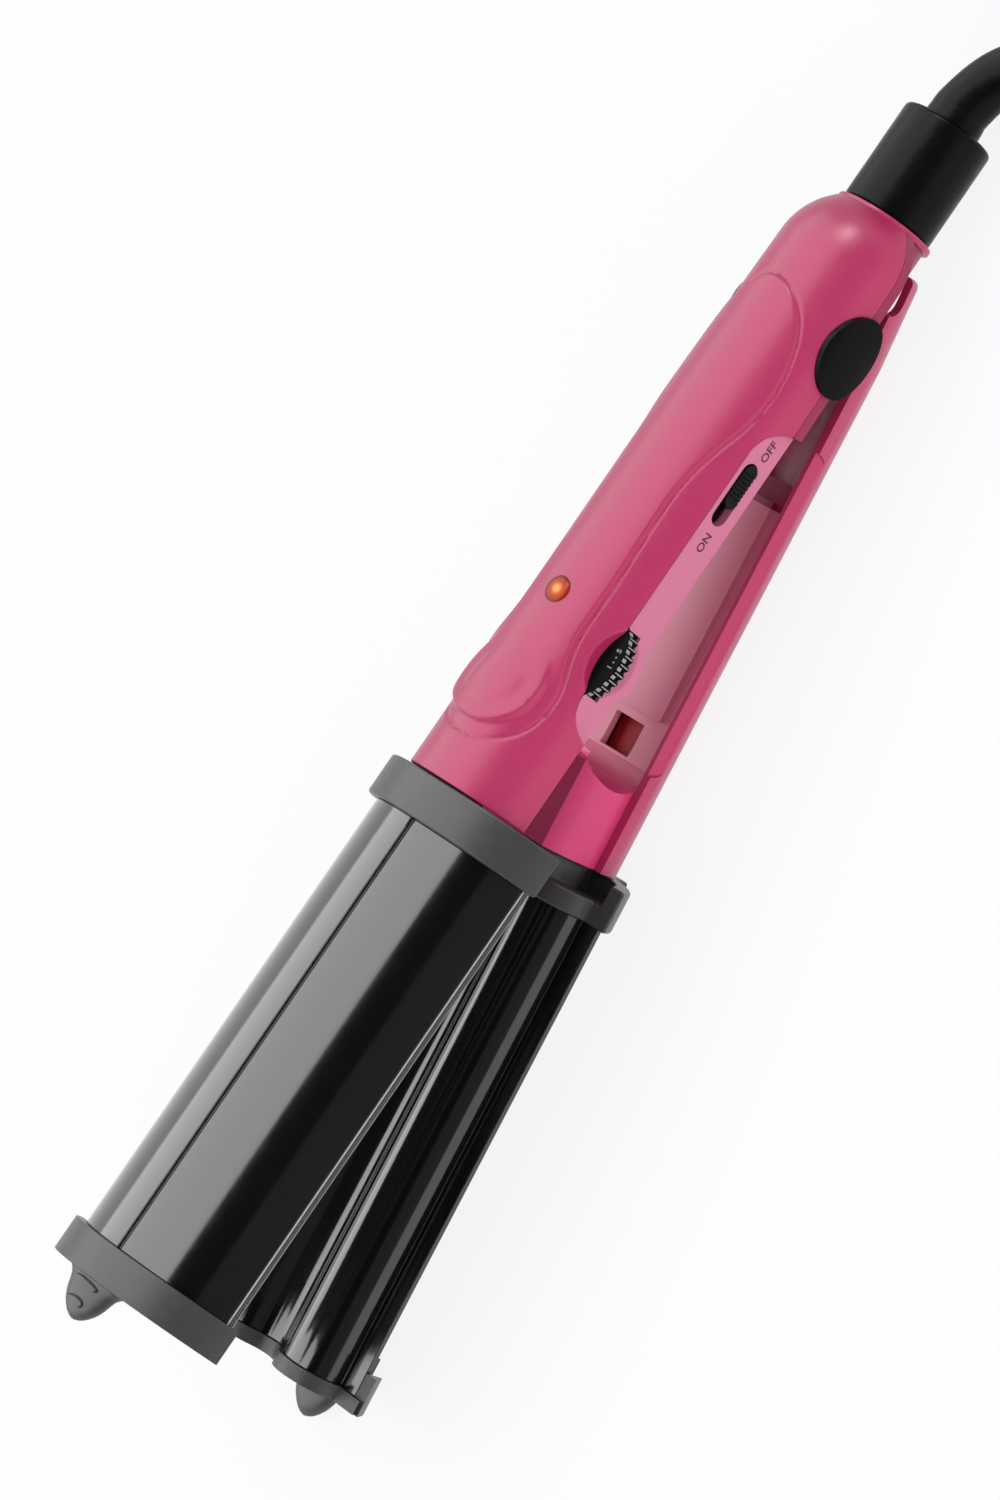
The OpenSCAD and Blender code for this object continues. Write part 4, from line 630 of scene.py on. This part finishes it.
# The pad's groove: place along the handle and angle from the crown, on the switch side and on the far side
PAD_LINE = [(-6.3, 0), (-5.8, 9), (-4.2, 19), (-1.5, 29), (2, 37), (6.5, 43), (13, 47.5), (20, 48.3),
            (27.5, 44.6), (34.5, 38.2), (42, 32.8), (49, 30.6), (60, 31.2), (71, 32.4), (80, 32.2),
            (86, 32.8), (91, 35.9), (95, 40), (99.5, 43.4), (105.5, 42), (110, 36.5), (114, 25.5),
            (116.5, 12), (117.2, 0)]
PAD_FAR_FRONT = [(91, 37), (95, 42.5), (100, 47.5), (106, 50), (111, 46), (114.6, 34), (116.6, 17),
                 (117.2, 0)]
PAD_SHARED_POINTS = 16
PAD_FAR_LINE = PAD_LINE[:PAD_SHARED_POINTS] + PAD_FAR_FRONT
GROOVE_DEPTH, GROOVE_W = 0.42, 0.42

# The pad's height: shoulders that swell along the handle, and the hollow, lip and dip of its front
PAD_RISE, PAD_SWELL, SWELL_START, SWELL_L = 0.42, 0.55, 50, 50
SHOULDER_START, SHOULDER_W = -0.25, 1.4
HOLLOW_RISE, HOLLOW_W = 0.5, 3.4
LIP_HEIGHT, LIP_START, LIP_W = 1.9, 3.0, 1.5
DIP_DEPTH, DIP_PLACE, DIP_W = 0.45, 7.6, 2.0
FRONT_START, FRONT_L = 92, 12

# The dial's dish: how widely it runs into the handle, how deep the crease is, and half its arc
DISH_BLEND, DISH_CREASE, DISH_HALF_ARC = 1.6, 0.4, 1

# The cover's turned-in rim, as steps inward and down, and its closed front end
COVER_RIM = [(0.12, 0.22), (0.4, 0.34), (0.9, 0.34)]
COVER_END_STEP, COVER_END_SHRINK = 0.2, (0.99, 0.93)
DOME_RINGS, COVER_RINGS, COVER_COLUMNS = 36, 330, 149

LENS_SEAT, LENS_RISE, LENS_FULLNESS, LENS_ROOT = 0.5, 1.15, 0.98, 1.0
LENS_RINGS, LENS_SIDES = 14, 48


def handle_radius(x):
    """The round handle: a ball at the cord end, a slow cone to the taper's end, then even."""
    ball = np.sqrt(np.clip(DOME_R**2 - (x - DOME_X) ** 2, 0, None))
    cone = DOME_R + (HANDLE_R - DOME_R) * (x - DOME_X) / (TAPER_END - DOME_X)
    return np.where(x < DOME_X, ball, np.minimum(cone, HANDLE_R))


def line_distance(px, py, line):
    """Distance of points to a closed line, positive inside: nearest segment, signed by a ray's crossings."""
    best = np.full(px.shape, 1e9)
    inside = np.zeros(px.shape, bool)
    for (ax, ay), (bx, by) in zip(line, np.roll(line, -1, 0)):
        dx, dy = bx - ax, by - ay
        t = np.clip(((px - ax) * dx + (py - ay) * dy) / (dx * dx + dy * dy + 1e-12), 0, 1)
        best = np.minimum(best, np.hypot(px - ax - t * dx, py - ay - t * dy))
        crosses = (ay > py) != (by > py)
        inside ^= crosses & (px < (bx - ax) * (py - ay) / (by - ay + 1e-12) + ax)
    return np.where(inside, best, -best)


def cover_edge(x):
    """Height of the top cover's lower edge: level, with a round-ended rise over the side panel."""
    r = PANEL_TOP - BASE_Z
    start, end = PANEL_START + r, PANEL_END - r
    off = np.clip(np.maximum(start - x, x - end), 0, r)
    return np.maximum(COVER_EDGE, BASE_Z + np.sqrt(np.clip(r * r - off * off, 0, None)))


def pad_outline():
    """The pad's groove as a closed line of place along the handle and arc across it, in millimetres."""
    halves = []
    for points, side in ((PAD_LINE, 1), (PAD_FAR_LINE, -1)):
        half = smooth_line(points, per_span=5)
        arc = np.radians(half[:, 1]) * handle_radius(half[:, 0])
        halves.append(np.column_stack([half[:, 0], side * arc]))
    return np.concatenate([halves[0], halves[1][-2:0:-1]])


def pad_rise(x, inward):
    """Height of the pad: soft shoulders along its sides; at its front a hollow, a rolled lip and a dip."""
    swell = PAD_RISE + PAD_SWELL * ease((x - SWELL_START) / SWELL_L)
    side = swell * ease((inward - SHOULDER_START) / SHOULDER_W)
    hollow = HOLLOW_RISE * ease(inward / HOLLOW_W)
    lip = (LIP_HEIGHT - HOLLOW_RISE) * ease((inward - LIP_START) / LIP_W)
    dip = DIP_DEPTH * np.exp(-(((inward - DIP_PLACE) / DIP_W) ** 2))
    front = ease((x - FRONT_START) / FRONT_L)
    return side * (1 - front) + (hollow + lip - dip) * front


def handle_skin(x, angle):
    """Radius of the top cover: the round handle, the raised pad inside its groove, and the dial's dish."""
    base = handle_radius(x)
    inward = line_distance(x, angle * base, pad_outline())
    groove = GROOVE_DEPTH * np.exp(-((inward / GROOVE_W) ** 2))
    skin = base + pad_rise(x, inward) - groove
    gap = DISH_DIST * np.sin(angle - DISH_SLOPE)
    room = DISH_R**2 - (x - DIAL_X) ** 2 - gap**2
    bowl = DISH_DIST * np.cos(angle - DISH_SLOPE) - np.sqrt(np.clip(room, 0, None))
    in_dish = (room > 0) & (np.abs(angle - DISH_SLOPE) < DISH_HALF_ARC)
    blend = np.clip(0.5 + (bowl - skin) / DISH_BLEND, 0, 1)
    dished = skin * blend + bowl * (1 - blend) - DISH_CREASE * blend * (1 - blend)
    return np.where(in_dish, dished, skin)


def top_cover():
    """Top cover: rings of the round handle from edge to edge, with a rounded rim turned in all along."""
    dome_x = DOME_X - (DOME_X - SLEEVE_FACE) * np.cos(np.linspace(0, math.pi / 2, DOME_RINGS))
    x = np.concatenate([dome_x, np.linspace(DOME_X, NECK_END, COVER_RINGS)[1:]])
    limit = np.arccos(np.clip(cover_edge(x) / handle_radius(x), -1, 1))
    angle = limit[:, None] * np.linspace(-1, 1, COVER_COLUMNS)[None, :]
    xs = np.repeat(x[:, None], COVER_COLUMNS, 1)
    r = handle_skin(xs, angle)
    skin = np.stack([xs, r * np.sin(angle), r * np.cos(angle)], -1)
    rim = []
    for side in (0, -1):
        edge = skin[:, side]
        inward = np.stack([0 * x, -np.sign(edge[:, 1]), 0 * x], -1)
        rows = [edge + inward * d + np.array([0, 0, -h]) for d, h in COVER_RIM]
        rim.append(np.stack(rows, 1))
    whole = np.concatenate([rim[0][:, ::-1], skin, rim[1]], 1)
    front = [whole[-1] * (1, shrink, shrink) + (COVER_END_STEP, 0, 0) for shrink in COVER_END_SHRINK]
    whole = np.concatenate([whole, np.stack(front)])
    return on_upper(whole), grid_faces(*whole.shape[:2])


def lens_shape():
    """Lens: a low dome turned about its upright middle line, with a wall that goes down into the cover."""
    arc = np.linspace(0, 1, LENS_RINGS)
    height = HANDLE_R + LENS_SEAT + LENS_RISE * np.sqrt(1 - (arc * LENS_FULLNESS) ** 2)
    rows = np.concatenate([np.column_stack([arc * LENS_R, height]), [[LENS_R, HANDLE_R - LENS_ROOT]]])
    a = round_steps(LENS_SIDES)
    x = LENS_X + rows[:, :1] * np.cos(a)
    y = rows[:, :1] * np.sin(a)
    z = np.repeat(rows[:, 1:], LENS_SIDES, 1)
    return on_upper(np.stack([x, y, z], -1)), grid_faces(len(rows), LENS_SIDES, wrap_columns=True)


make_piece("handle_top", *top_cover(), PINK, "upper_arm", "pink_plastic", ("upper_top_cover",),
           sharp=50, flip=True)
# Switch panel: pale pink of painted sheen, with painted shade and painted light at its ends
dressed("upper_base_cover", PINK_PANEL_SHEEN, bevel=0.35)
make_piece("lamp_lens", *lens_shape(), AMBER, "upper_arm", "amber_lens", ("indicator_lens",), flip=True)


# Jaws, collars and caps

RIDGE_Z = BARREL_Z + math.sqrt((BARREL_R + HAIR_GAP + RIDGE_R) ** 2 - BARREL_Y**2)
MEET = math.atan2(BARREL_Z - RIDGE_Z, BARREL_Y)
UPPER_LIP_Z = LIP_Z + HAIR_GAP
UPPER_RIM_Z = LIP_Z + HAIR_GAP + PLATE_T + SEAM
LOWER_RIM_Z = LIP_Z - PLATE_T - SEAM
CROWN_GROOVE, CROWN_GROOVE_FLOOR, CROWN_GROOVE_DEPTH, CROWN_GROOVE_ROOM = 0.3, 0.25, 0.5, 0.35
RIM_R, RIM_LIFT, RIM_PROUD, RIM_PAST = 0.22, 0.35, 0.02, 2.0
HOOK_R, HOOK_SWELL = 0.1, 0.2
NOSE_HOOKS = [
    [(262.99, -4.09, 18.73), (262.75, -2.15, 19.04), (262.87, 0.36, 19.13), (263.1, 2.43, 18.98),
     (263.5, 3.95, 18.68), (263.95, 3.8, 18.67), (264.14, 3.11, 18.8)],
    [(267.81, -3.47, 18.11), (267.35, -1.53, 18.65), (267.19, 0.29, 18.76), (267.43, 1.73, 18.6),
     (267.95, 2.3, 18.4), (268.53, 2.15, 18.24), (268.77, 1.52, 18.29)]]


def wave_line(g, half_width, steps=40):
    """The waving profile g above the lower plate, from lip to lip: lip, barrel arc, saddle arc, mirrored."""
    lip_angle = math.asin((LIP_Z + g - BARREL_Z) / (BARREL_R + g))
    s = np.linspace(-math.pi / 2, MEET, steps)
    b = np.linspace(MEET + math.pi, lip_angle, 2 * steps)[1:]
    r = RIDGE_R + HAIR_GAP - g
    saddle = np.column_stack([r * np.cos(s), RIDGE_Z + r * np.sin(s)])
    barrel = np.column_stack([BARREL_Y + (BARREL_R + g) * np.cos(b), BARREL_Z + (BARREL_R + g) * np.sin(b)])
    half = np.concatenate([saddle, barrel, [[half_width, LIP_Z + g]]])
    return np.concatenate([half[:0:-1] * (-1, 1), half])


def arch_line(radius, centre_z, side, z_end, steps=121):
    """An arched back: part of a circle that ends at height z_end; side is 1 for the upper jaw, else -1."""
    reach = math.acos((z_end - centre_z) * side / radius)
    a = np.linspace(-reach, reach, steps)
    return np.column_stack([radius * np.sin(a), centre_z + side * radius * np.cos(a)])


def plate_section(g0, g1):
    """The wall of a waving plate between two distances from the lower plate's face."""
    return np.concatenate([wave_line(g0, JAW_HALF), wave_line(g1, JAW_HALF)[::-1]])


def shell_section(centre_z, side, rim):
    """The wall of an arched back, with the fine groove along the upper jaw's crown."""
    outer = arch_line(ARCH_R, centre_z, side, rim)
    inner = arch_line(ARCH_R - ARCH_WALL, centre_z, side, rim)
    if side > 0:
        crown = centre_z + ARCH_R
        floor_z = crown - CROWN_GROOVE_DEPTH
        notch = np.array([[-CROWN_GROOVE, crown], [-CROWN_GROOVE_FLOOR, floor_z],
                          [CROWN_GROOVE_FLOOR, floor_z], [CROWN_GROOVE, crown]])
        before = outer[outer[:, 0] < -CROWN_GROOVE_ROOM]
        after = outer[outer[:, 0] > CROWN_GROOVE_ROOM]
        outer = np.concatenate([before, notch, after])
    return np.concatenate([outer, inner[::-1]])


def rolled_rims():
    """Rolled edges of the upper plate and of the upper jaw back: four thin straight tubes along the jaw."""
    parts = []
    for side in (-1, 1):
        for z in (UPPER_LIP_Z + RIM_LIFT, UPPER_RIM_Z + RIM_LIFT):
            y = side * (JAW_HALF + RIM_PROUD)
            parts.append(tube([[JAW_START, y, z], [JAW_END + RIM_PAST, y, z]], RIM_R, sides=14))
    verts, faces = join(*parts)
    return on_upper(verts), faces


def nose_hooks():
    """Two hooked lines on the upper finger nose, dark as the shade in its slots (painted shade): tubes along
    smooth lines, thickest at the middle.
    """
    parts = []
    for hook in NOSE_HOOKS:
        line = smooth_line(hook, per_span=5)
        share = np.linspace(0, 1, len(line))
        parts.append(tube(line, HOOK_R + HOOK_SWELL * np.sin(math.pi * share) ** 0.5, sides=10))
    verts, faces = join(*parts)
    return on_upper(verts), faces


make_prism("upper_jaw_back", shell_section(UPPER_ARCH_Z, 1, UPPER_RIM_Z), JAW_START, JAW_END,
           JAW_BLACK, on_upper, "upper_arm", "black_gloss", ("upper_jaw_shell",), bevel=0.3)
make_prism("lower_jaw_back", shell_section(LOWER_ARCH_Z, -1, LOWER_RIM_Z), JAW_START, LOWER_JAW_END,
           JAW_BLACK, on_lower, "lower_arm", "black_gloss", ("lower_jaw_shell",), bevel=0.18)
make_prism("upper_plate", plate_section(HAIR_GAP, HAIR_GAP + PLATE_T), JAW_START, JAW_END,
           PLATE_BLACK, on_upper, "upper_arm", "coated_plate", ("upper_wave_plate",), bevel=0.4)
make_prism("lower_plate", plate_section(0, -PLATE_T), JAW_START, LOWER_JAW_END,
           PLATE_BLACK, on_lower, "lower_arm", "coated_plate", ("lower_wave_plate",), bevel=0.2)
for node in ("upper_root_collar", "lower_root_collar"):
    collar = dressed(node, GREY, bevel=0.7)
    collar.modifiers["rounded_edges"].use_clamp_overlap = False
for node in ("upper_tip_cap", "lower_tip_cap"):
    dressed(node, GREY, bevel=1.0)
make_piece("rolled_rims", *rolled_rims(), STEEL, "upper_arm", "coated_plate")
# The nose's slots as dark lines: painted shade
make_piece("nose_hooks", *nose_hooks(), SLOT_SHADE_DARK, "upper_arm", "grey_plastic")


# Hinge, sleeve, switch and dial

# The sleeve's rounded ends, as steps from the end and in from the radius, and its neck inside the handle
SLEEVE_REAR_ROUND = [(0, 1.2), (0.25, 0.5), (0.7, 0.12), (1.3, 0)]
SLEEVE_FRONT_ROUND = [(1.1, 0), (0.6, 0.12), (0.25, 0.5)]
CORD_HOLE_R, SLEEVE_NECK_R, SPOOL_SEAT_R = 3.0, 8.4, 6.1
SLEEVE_NECK_L, SLEEVE_NECK_STEP = 9, 0.15
SLEEVE_RIM = [(-31.1, 10.6), (-31.15, 11.7), (-31.05, 12.05), (-30.8, 12.2), (-30.1, 12.2), (-29.8, 12.05),
              (-29.6, 11.6), (-29.6, 10.6)]
WINDOW_HALF_W, WINDOW_HALF_L, WINDOW_T = 5.6, 4.8, 0.5


def sleeve_profile():
    """Half outline of the cord sleeve, from the cord's hole round the outside to the spool's seat."""
    rear = [(SLEEVE_END + step, SLEEVE_R - inward) for step, inward in SLEEVE_REAR_ROUND]
    front = [(SLEEVE_FACE - step, SLEEVE_R - inward) for step, inward in SLEEVE_FRONT_ROUND]
    neck_end = SLEEVE_FACE + SLEEVE_NECK_L
    neck = [(SLEEVE_FACE - SLEEVE_NECK_STEP, SLEEVE_NECK_R), (neck_end, SLEEVE_NECK_R),
            (neck_end, SPOOL_SEAT_R)]
    return [(SLEEVE_END, CORD_HOLE_R), *rear, *front, *neck]


sleeve_verts, sleeve_faces = lathe(sleeve_profile())
make_piece("cord_sleeve", on_upper(sleeve_verts), sleeve_faces, SATIN_BLACK, "upper_arm", "black_plastic",
           ("swivel_sleeve",), flip=True)
ring_verts, ring_faces = lathe(SLEEVE_RIM)
make_piece("sleeve_rim", on_upper(ring_verts), ring_faces, PINK, "upper_arm", "pink_plastic", flip=True)
dressed("hinge_cap_near", SATIN_BLACK, bevel=0.5)
dressed("hinge_cap_far", SATIN_BLACK, bevel=0.5)
dressed("lower_handle_shell", PINK, bevel=0.35)
# Tongue: pale pink of painted sheen, with painted shade and painted light at its ends
dressed("lower_inner_cover", PINK_TONGUE_SHEEN, bevel=0.3)
# A thin sheet under the window, coloured as the shade in the hollow behind it: painted shade
window_section = [(-WINDOW_HALF_W, WINDOW_FLOOR - WINDOW_T), (WINDOW_HALF_W, WINDOW_FLOOR - WINDOW_T),
                  (WINDOW_HALF_W, WINDOW_FLOOR), (-WINDOW_HALF_W, WINDOW_FLOOR)]
make_prism("window_shade_sheet", window_section, WINDOW_X - WINDOW_HALF_L, WINDOW_X + WINDOW_HALF_L,
           WINDOW_SHADE_RED, on_lower, "lower_arm", "pink_plastic")
dressed("switch_slider", SATIN_BLACK, bevel=0.12)
dressed("temperature_dial", DIAL_BLACK, bevel=0.08)

# Solids whose shape stays as it is
PLAIN_PARTS = [
    (STEEL, ("hinge_pin", "hinge_spring", "cover_screws", "lower_screws")),
    (STEEL, ("upper_heater_clip", "lower_heater_clip")),
    (BRASS, ("hinge_bushes", "swivel_spool")),
    (CERAMIC, ("upper_heater", "lower_heaters")),
    (BOARD, ("circuit_board",)),
    (SATIN_BLACK, ("switch_body", "dial_control")),
    (AMBER, ("indicator_lamp",))]
for material, nodes in PLAIN_PARTS:
    for node in nodes:
        NODES[node].data.materials.clear()
        NODES[node].data.materials.append(material)

# Lettering: piece, words, size, place, up direction, finish and body; all of it reads towards the cord
READING_DIR = np.array([-1.0, 0, 0])
PRINT_HALF_T, PRINT_WEIGHT = 0.03, 0.02
WORDS = [
    ("word_off", "OFF", 3.0, (28.0, PANEL_Y, 6.2), (0, 0, 1), PRINT, "upper_arm"),
    ("word_on", "ON", 3.0, (52.7, PANEL_Y, 7.0), (0, 0, 1), PRINT, "upper_arm"),
    ("dial_five", "5", 2.0, (83.2, 17.3, DIAL_TOP), (0, -1, 0), MARK_AND_GLINT, "heat_dial"),
    ("dial_one", "1", 2.0, (87.4, 17.6, DIAL_TOP), (0, -1, 0), MARK_AND_GLINT, "heat_dial")]


def lettering(name, words, size, place, up, material, body):
    """Flat print: the outline of the words as a thin mesh, set on a surface by its two directions."""
    curve = bpy.data.curves.new(name, "FONT")
    curve.body = words
    curve.size = size
    curve.align_x = "CENTER"
    curve.align_y = "CENTER"
    curve.extrude = PRINT_HALF_T
    curve.offset = PRINT_WEIGHT * size
    draft = place_object(name + "_draft", curve)
    bpy.context.view_layer.update()
    mesh = bpy.data.meshes.new_from_object(draft.evaluated_get(bpy.context.evaluated_depsgraph_get()))
    bpy.data.objects.remove(draft)
    flat = np.zeros(len(mesh.vertices) * 3)
    mesh.vertices.foreach_get("co", flat)
    axes = np.stack([READING_DIR, np.asarray(up, float), np.cross(READING_DIR, up)])
    set_in = np.asarray(place, float) + flat.reshape(-1, 3) @ axes
    mesh.vertices.foreach_set("co", on_upper(set_in).ravel())
    mesh.update()
    finish_piece(name, mesh, material, body)


for row in WORDS:
    lettering(*row)

# Painted highlights on the wheel's edge, pale where the teeth catch the light: share of a tooth from its
# groove, half width, lower and upper height; then the printed dots
CREST_GLINT, GROOVE_GLINT = (0.5, 0.14, 0.3, 3.2), (0, 0.42, 2.2, 3.5)
GLINT_ROOT, GLINT_PROUD = 0.3, 0.05
BOX_FACES = [(0, 3, 2, 1), (4, 5, 6, 7), (0, 1, 5, 4), (1, 2, 6, 5), (2, 3, 7, 6), (3, 0, 4, 7)]
DOT_PLACES, DOT_R, DOT_SIDES, DOT_LIFT = ((84.8, 17.6), (86.0, 17.75)), 0.24, 12, 0.03


def dial_glints_and_dots():
    """Pale marks of the thumb wheel: a bar on each tooth and a lobe over each groove are painted highlights
    of the teeth; two printed dots on the face.
    """
    parts = []
    pitch = FULL_TURN / DIAL_TEETH
    for i in range(DIAL_TEETH):
        for turn, half_w, low, high in (CREST_GLINT, GROOVE_GLINT):
            angles = np.array([-half_w, half_w, half_w, -half_w]) / DIAL_R + (i + turn) * pitch
            corners = list(zip(angles, (low, low, high, high)))
            verts = [[DIAL_X + r * math.cos(a), DIAL_Y + r * math.sin(a), DIAL_Z + h]
                     for r in (DIAL_R - GLINT_ROOT, DIAL_R + GLINT_PROUD) for a, h in corners]
            parts.append((verts, BOX_FACES))
    a = round_steps(DOT_SIDES)
    for x, y in DOT_PLACES:
        height = np.full(DOT_SIDES, DIAL_TOP + DOT_LIFT)
        ring = np.column_stack([x + DOT_R * np.cos(a), y + DOT_R * np.sin(a), height])
        parts.append((ring, [list(range(DOT_SIDES))]))
    verts, faces = join(*parts)
    return on_upper(verts), faces


# The bars and lobes are painted highlights, the dots are print
make_piece("dial_glints_and_dots", *dial_glints_and_dots(), MARK_AND_GLINT, "heat_dial", "black_plastic")


# Stage in metres: floor, lamps, black cards and white surroundings

FLOOR_LIFT = 0.86
ROOM_LIGHT = 0.76
FLOOR_HALF, FLOOR_DROP, FLOOR_SHADE, FLOOR_ROUGHNESS = 3.0, 0.0006, 0.9, 0.9
AIM_HEIGHT = 0.04
CARD_DISTANCE, CARD_HALF_L, CARD_STEPS = 1.6, 2.6, 13


def matte(name, shade, rough):
    """A plain grey without shine, for what stands around the object."""
    material, _, shader = new_material(name)
    shader.inputs["Base Color"].default_value = (shade, shade, shade, 1)
    shader.inputs["Roughness"].default_value = rough
    shader.inputs["Specular IOR Level"].default_value = 0.0
    return material


def seen_rays(tree):
    """One for rays from the camera, from a shiny surface or through a clear one, and zero for the others."""
    ways = tree.nodes.new("ShaderNodeLightPath")
    seen = math_node(tree, "MAXIMUM", ways.outputs["Is Camera Ray"], ways.outputs["Is Glossy Ray"])
    return math_node(tree, "MAXIMUM", seen, ways.outputs["Is Transmission Ray"])


def floor():
    """A white floor: it takes the object's shadow, and the camera sees it lightened towards plain white."""
    x, y = (v.ravel() for v in np.meshgrid((-FLOOR_HALF, FLOOR_HALF), (-FLOOR_HALF, FLOOR_HALF)))
    mesh = bpy.data.meshes.new("floor")
    mesh.from_pydata(np.column_stack([x, y, 0 * x - FLOOR_DROP]).tolist(), [], [(0, 1, 3, 2)])
    ground = place_object("floor", mesh)
    material = matte("floor_white", FLOOR_SHADE, FLOOR_ROUGHNESS)
    tree = material.node_tree
    glow = tree.nodes.new("ShaderNodeEmission")
    mix = tree.nodes.new("ShaderNodeMixShader")
    tree.links.new(math_node(tree, "MULTIPLY", seen_rays(tree), FLOOR_LIFT), mix.inputs["Fac"])
    tree.links.new(tree.nodes["Principled BSDF"].outputs["BSDF"], mix.inputs[1])
    tree.links.new(glow.outputs["Emission"], mix.inputs[2])
    tree.links.new(mix.outputs["Shader"], tree.nodes["Material Output"].inputs["Surface"])
    mesh.materials.append(material)


def around(angle, distance):
    """A place square to the tool's length: angle in degrees from straight up, positive to the switch side."""
    a = math.radians(angle)
    return np.array([0.0, math.sin(a) * distance, math.cos(a) * distance + AIM_HEIGHT])


def area_lamp(name, place, size_x, size_y, power, soft=True, shine=True):
    """A soft box that faces the tool; it may light surfaces only, or show in reflections only."""
    data = bpy.data.lights.new(name, "AREA")
    data.shape = "RECTANGLE"
    data.size = size_x
    data.size_y = size_y
    data.energy = power
    lamp = place_object(name, data)
    out = unit(place - np.array([0, 0, AIM_HEIGHT]))
    side = unit(np.cross((1.0, 0.0, 0.0), out))
    set_frame(lamp, np.cross(side, out), side, out, place)
    lamp.visible_diffuse = soft
    lamp.visible_glossy = shine


def black_card(name, start, end, shade):
    """A curved card along the tool between two angles, seen only in reflections, as a studio flag is."""
    rows = np.stack([around(a, CARD_DISTANCE) for a in np.linspace(start, end, CARD_STEPS)])
    verts = np.concatenate([rows + (-CARD_HALF_L, 0, 0), rows + (CARD_HALF_L, 0, 0)])
    mesh = bpy.data.meshes.new(name)
    mesh.from_pydata(verts.tolist(), [], grid_faces(2, CARD_STEPS).tolist())
    mesh.materials.append(matte(name, shade, 1.0))
    card = place_object(name, mesh)
    card.visible_camera = False
    card.visible_diffuse = False
    card.visible_transmission = False
    card.visible_shadow = False


def white_room():
    """White surroundings: plain white where they are seen, a little less where they light the object."""
    world = bpy.data.worlds.new("white_room")
    bpy.context.scene.world = world
    world.use_nodes = True
    tree = world.node_tree
    back = tree.nodes["Background"]
    back.inputs["Color"].default_value = (1, 1, 1, 1)
    level = tree.nodes.new("ShaderNodeMapRange")
    level.inputs["To Min"].default_value = ROOM_LIGHT
    level.inputs["To Max"].default_value = 1.0
    tree.links.new(seen_rays(tree), level.inputs["Value"])
    tree.links.new(level.outputs["Result"], back.inputs["Strength"])


floor()
area_lamp("sheen_box", around(-31, 1.3), 3.0, 2.5, power=50, soft=False)
area_lamp("key_box", around(-25, 1.4), 1.0, 1.0, power=6, shine=False)
area_lamp("dome_glint", np.array([-1.05, 0.03, 0.8]), 0.4, 0.4, power=5, soft=False)
area_lamp("near_fill", around(78, 1.4), 1.4, 0.4, power=9, shine=False)
black_card("flag_high", 13, 42, shade=0.01)
black_card("flag_low", 42, 80, shade=0.12)
white_room()

bpy.context.scene.view_settings.view_transform = "Standard"
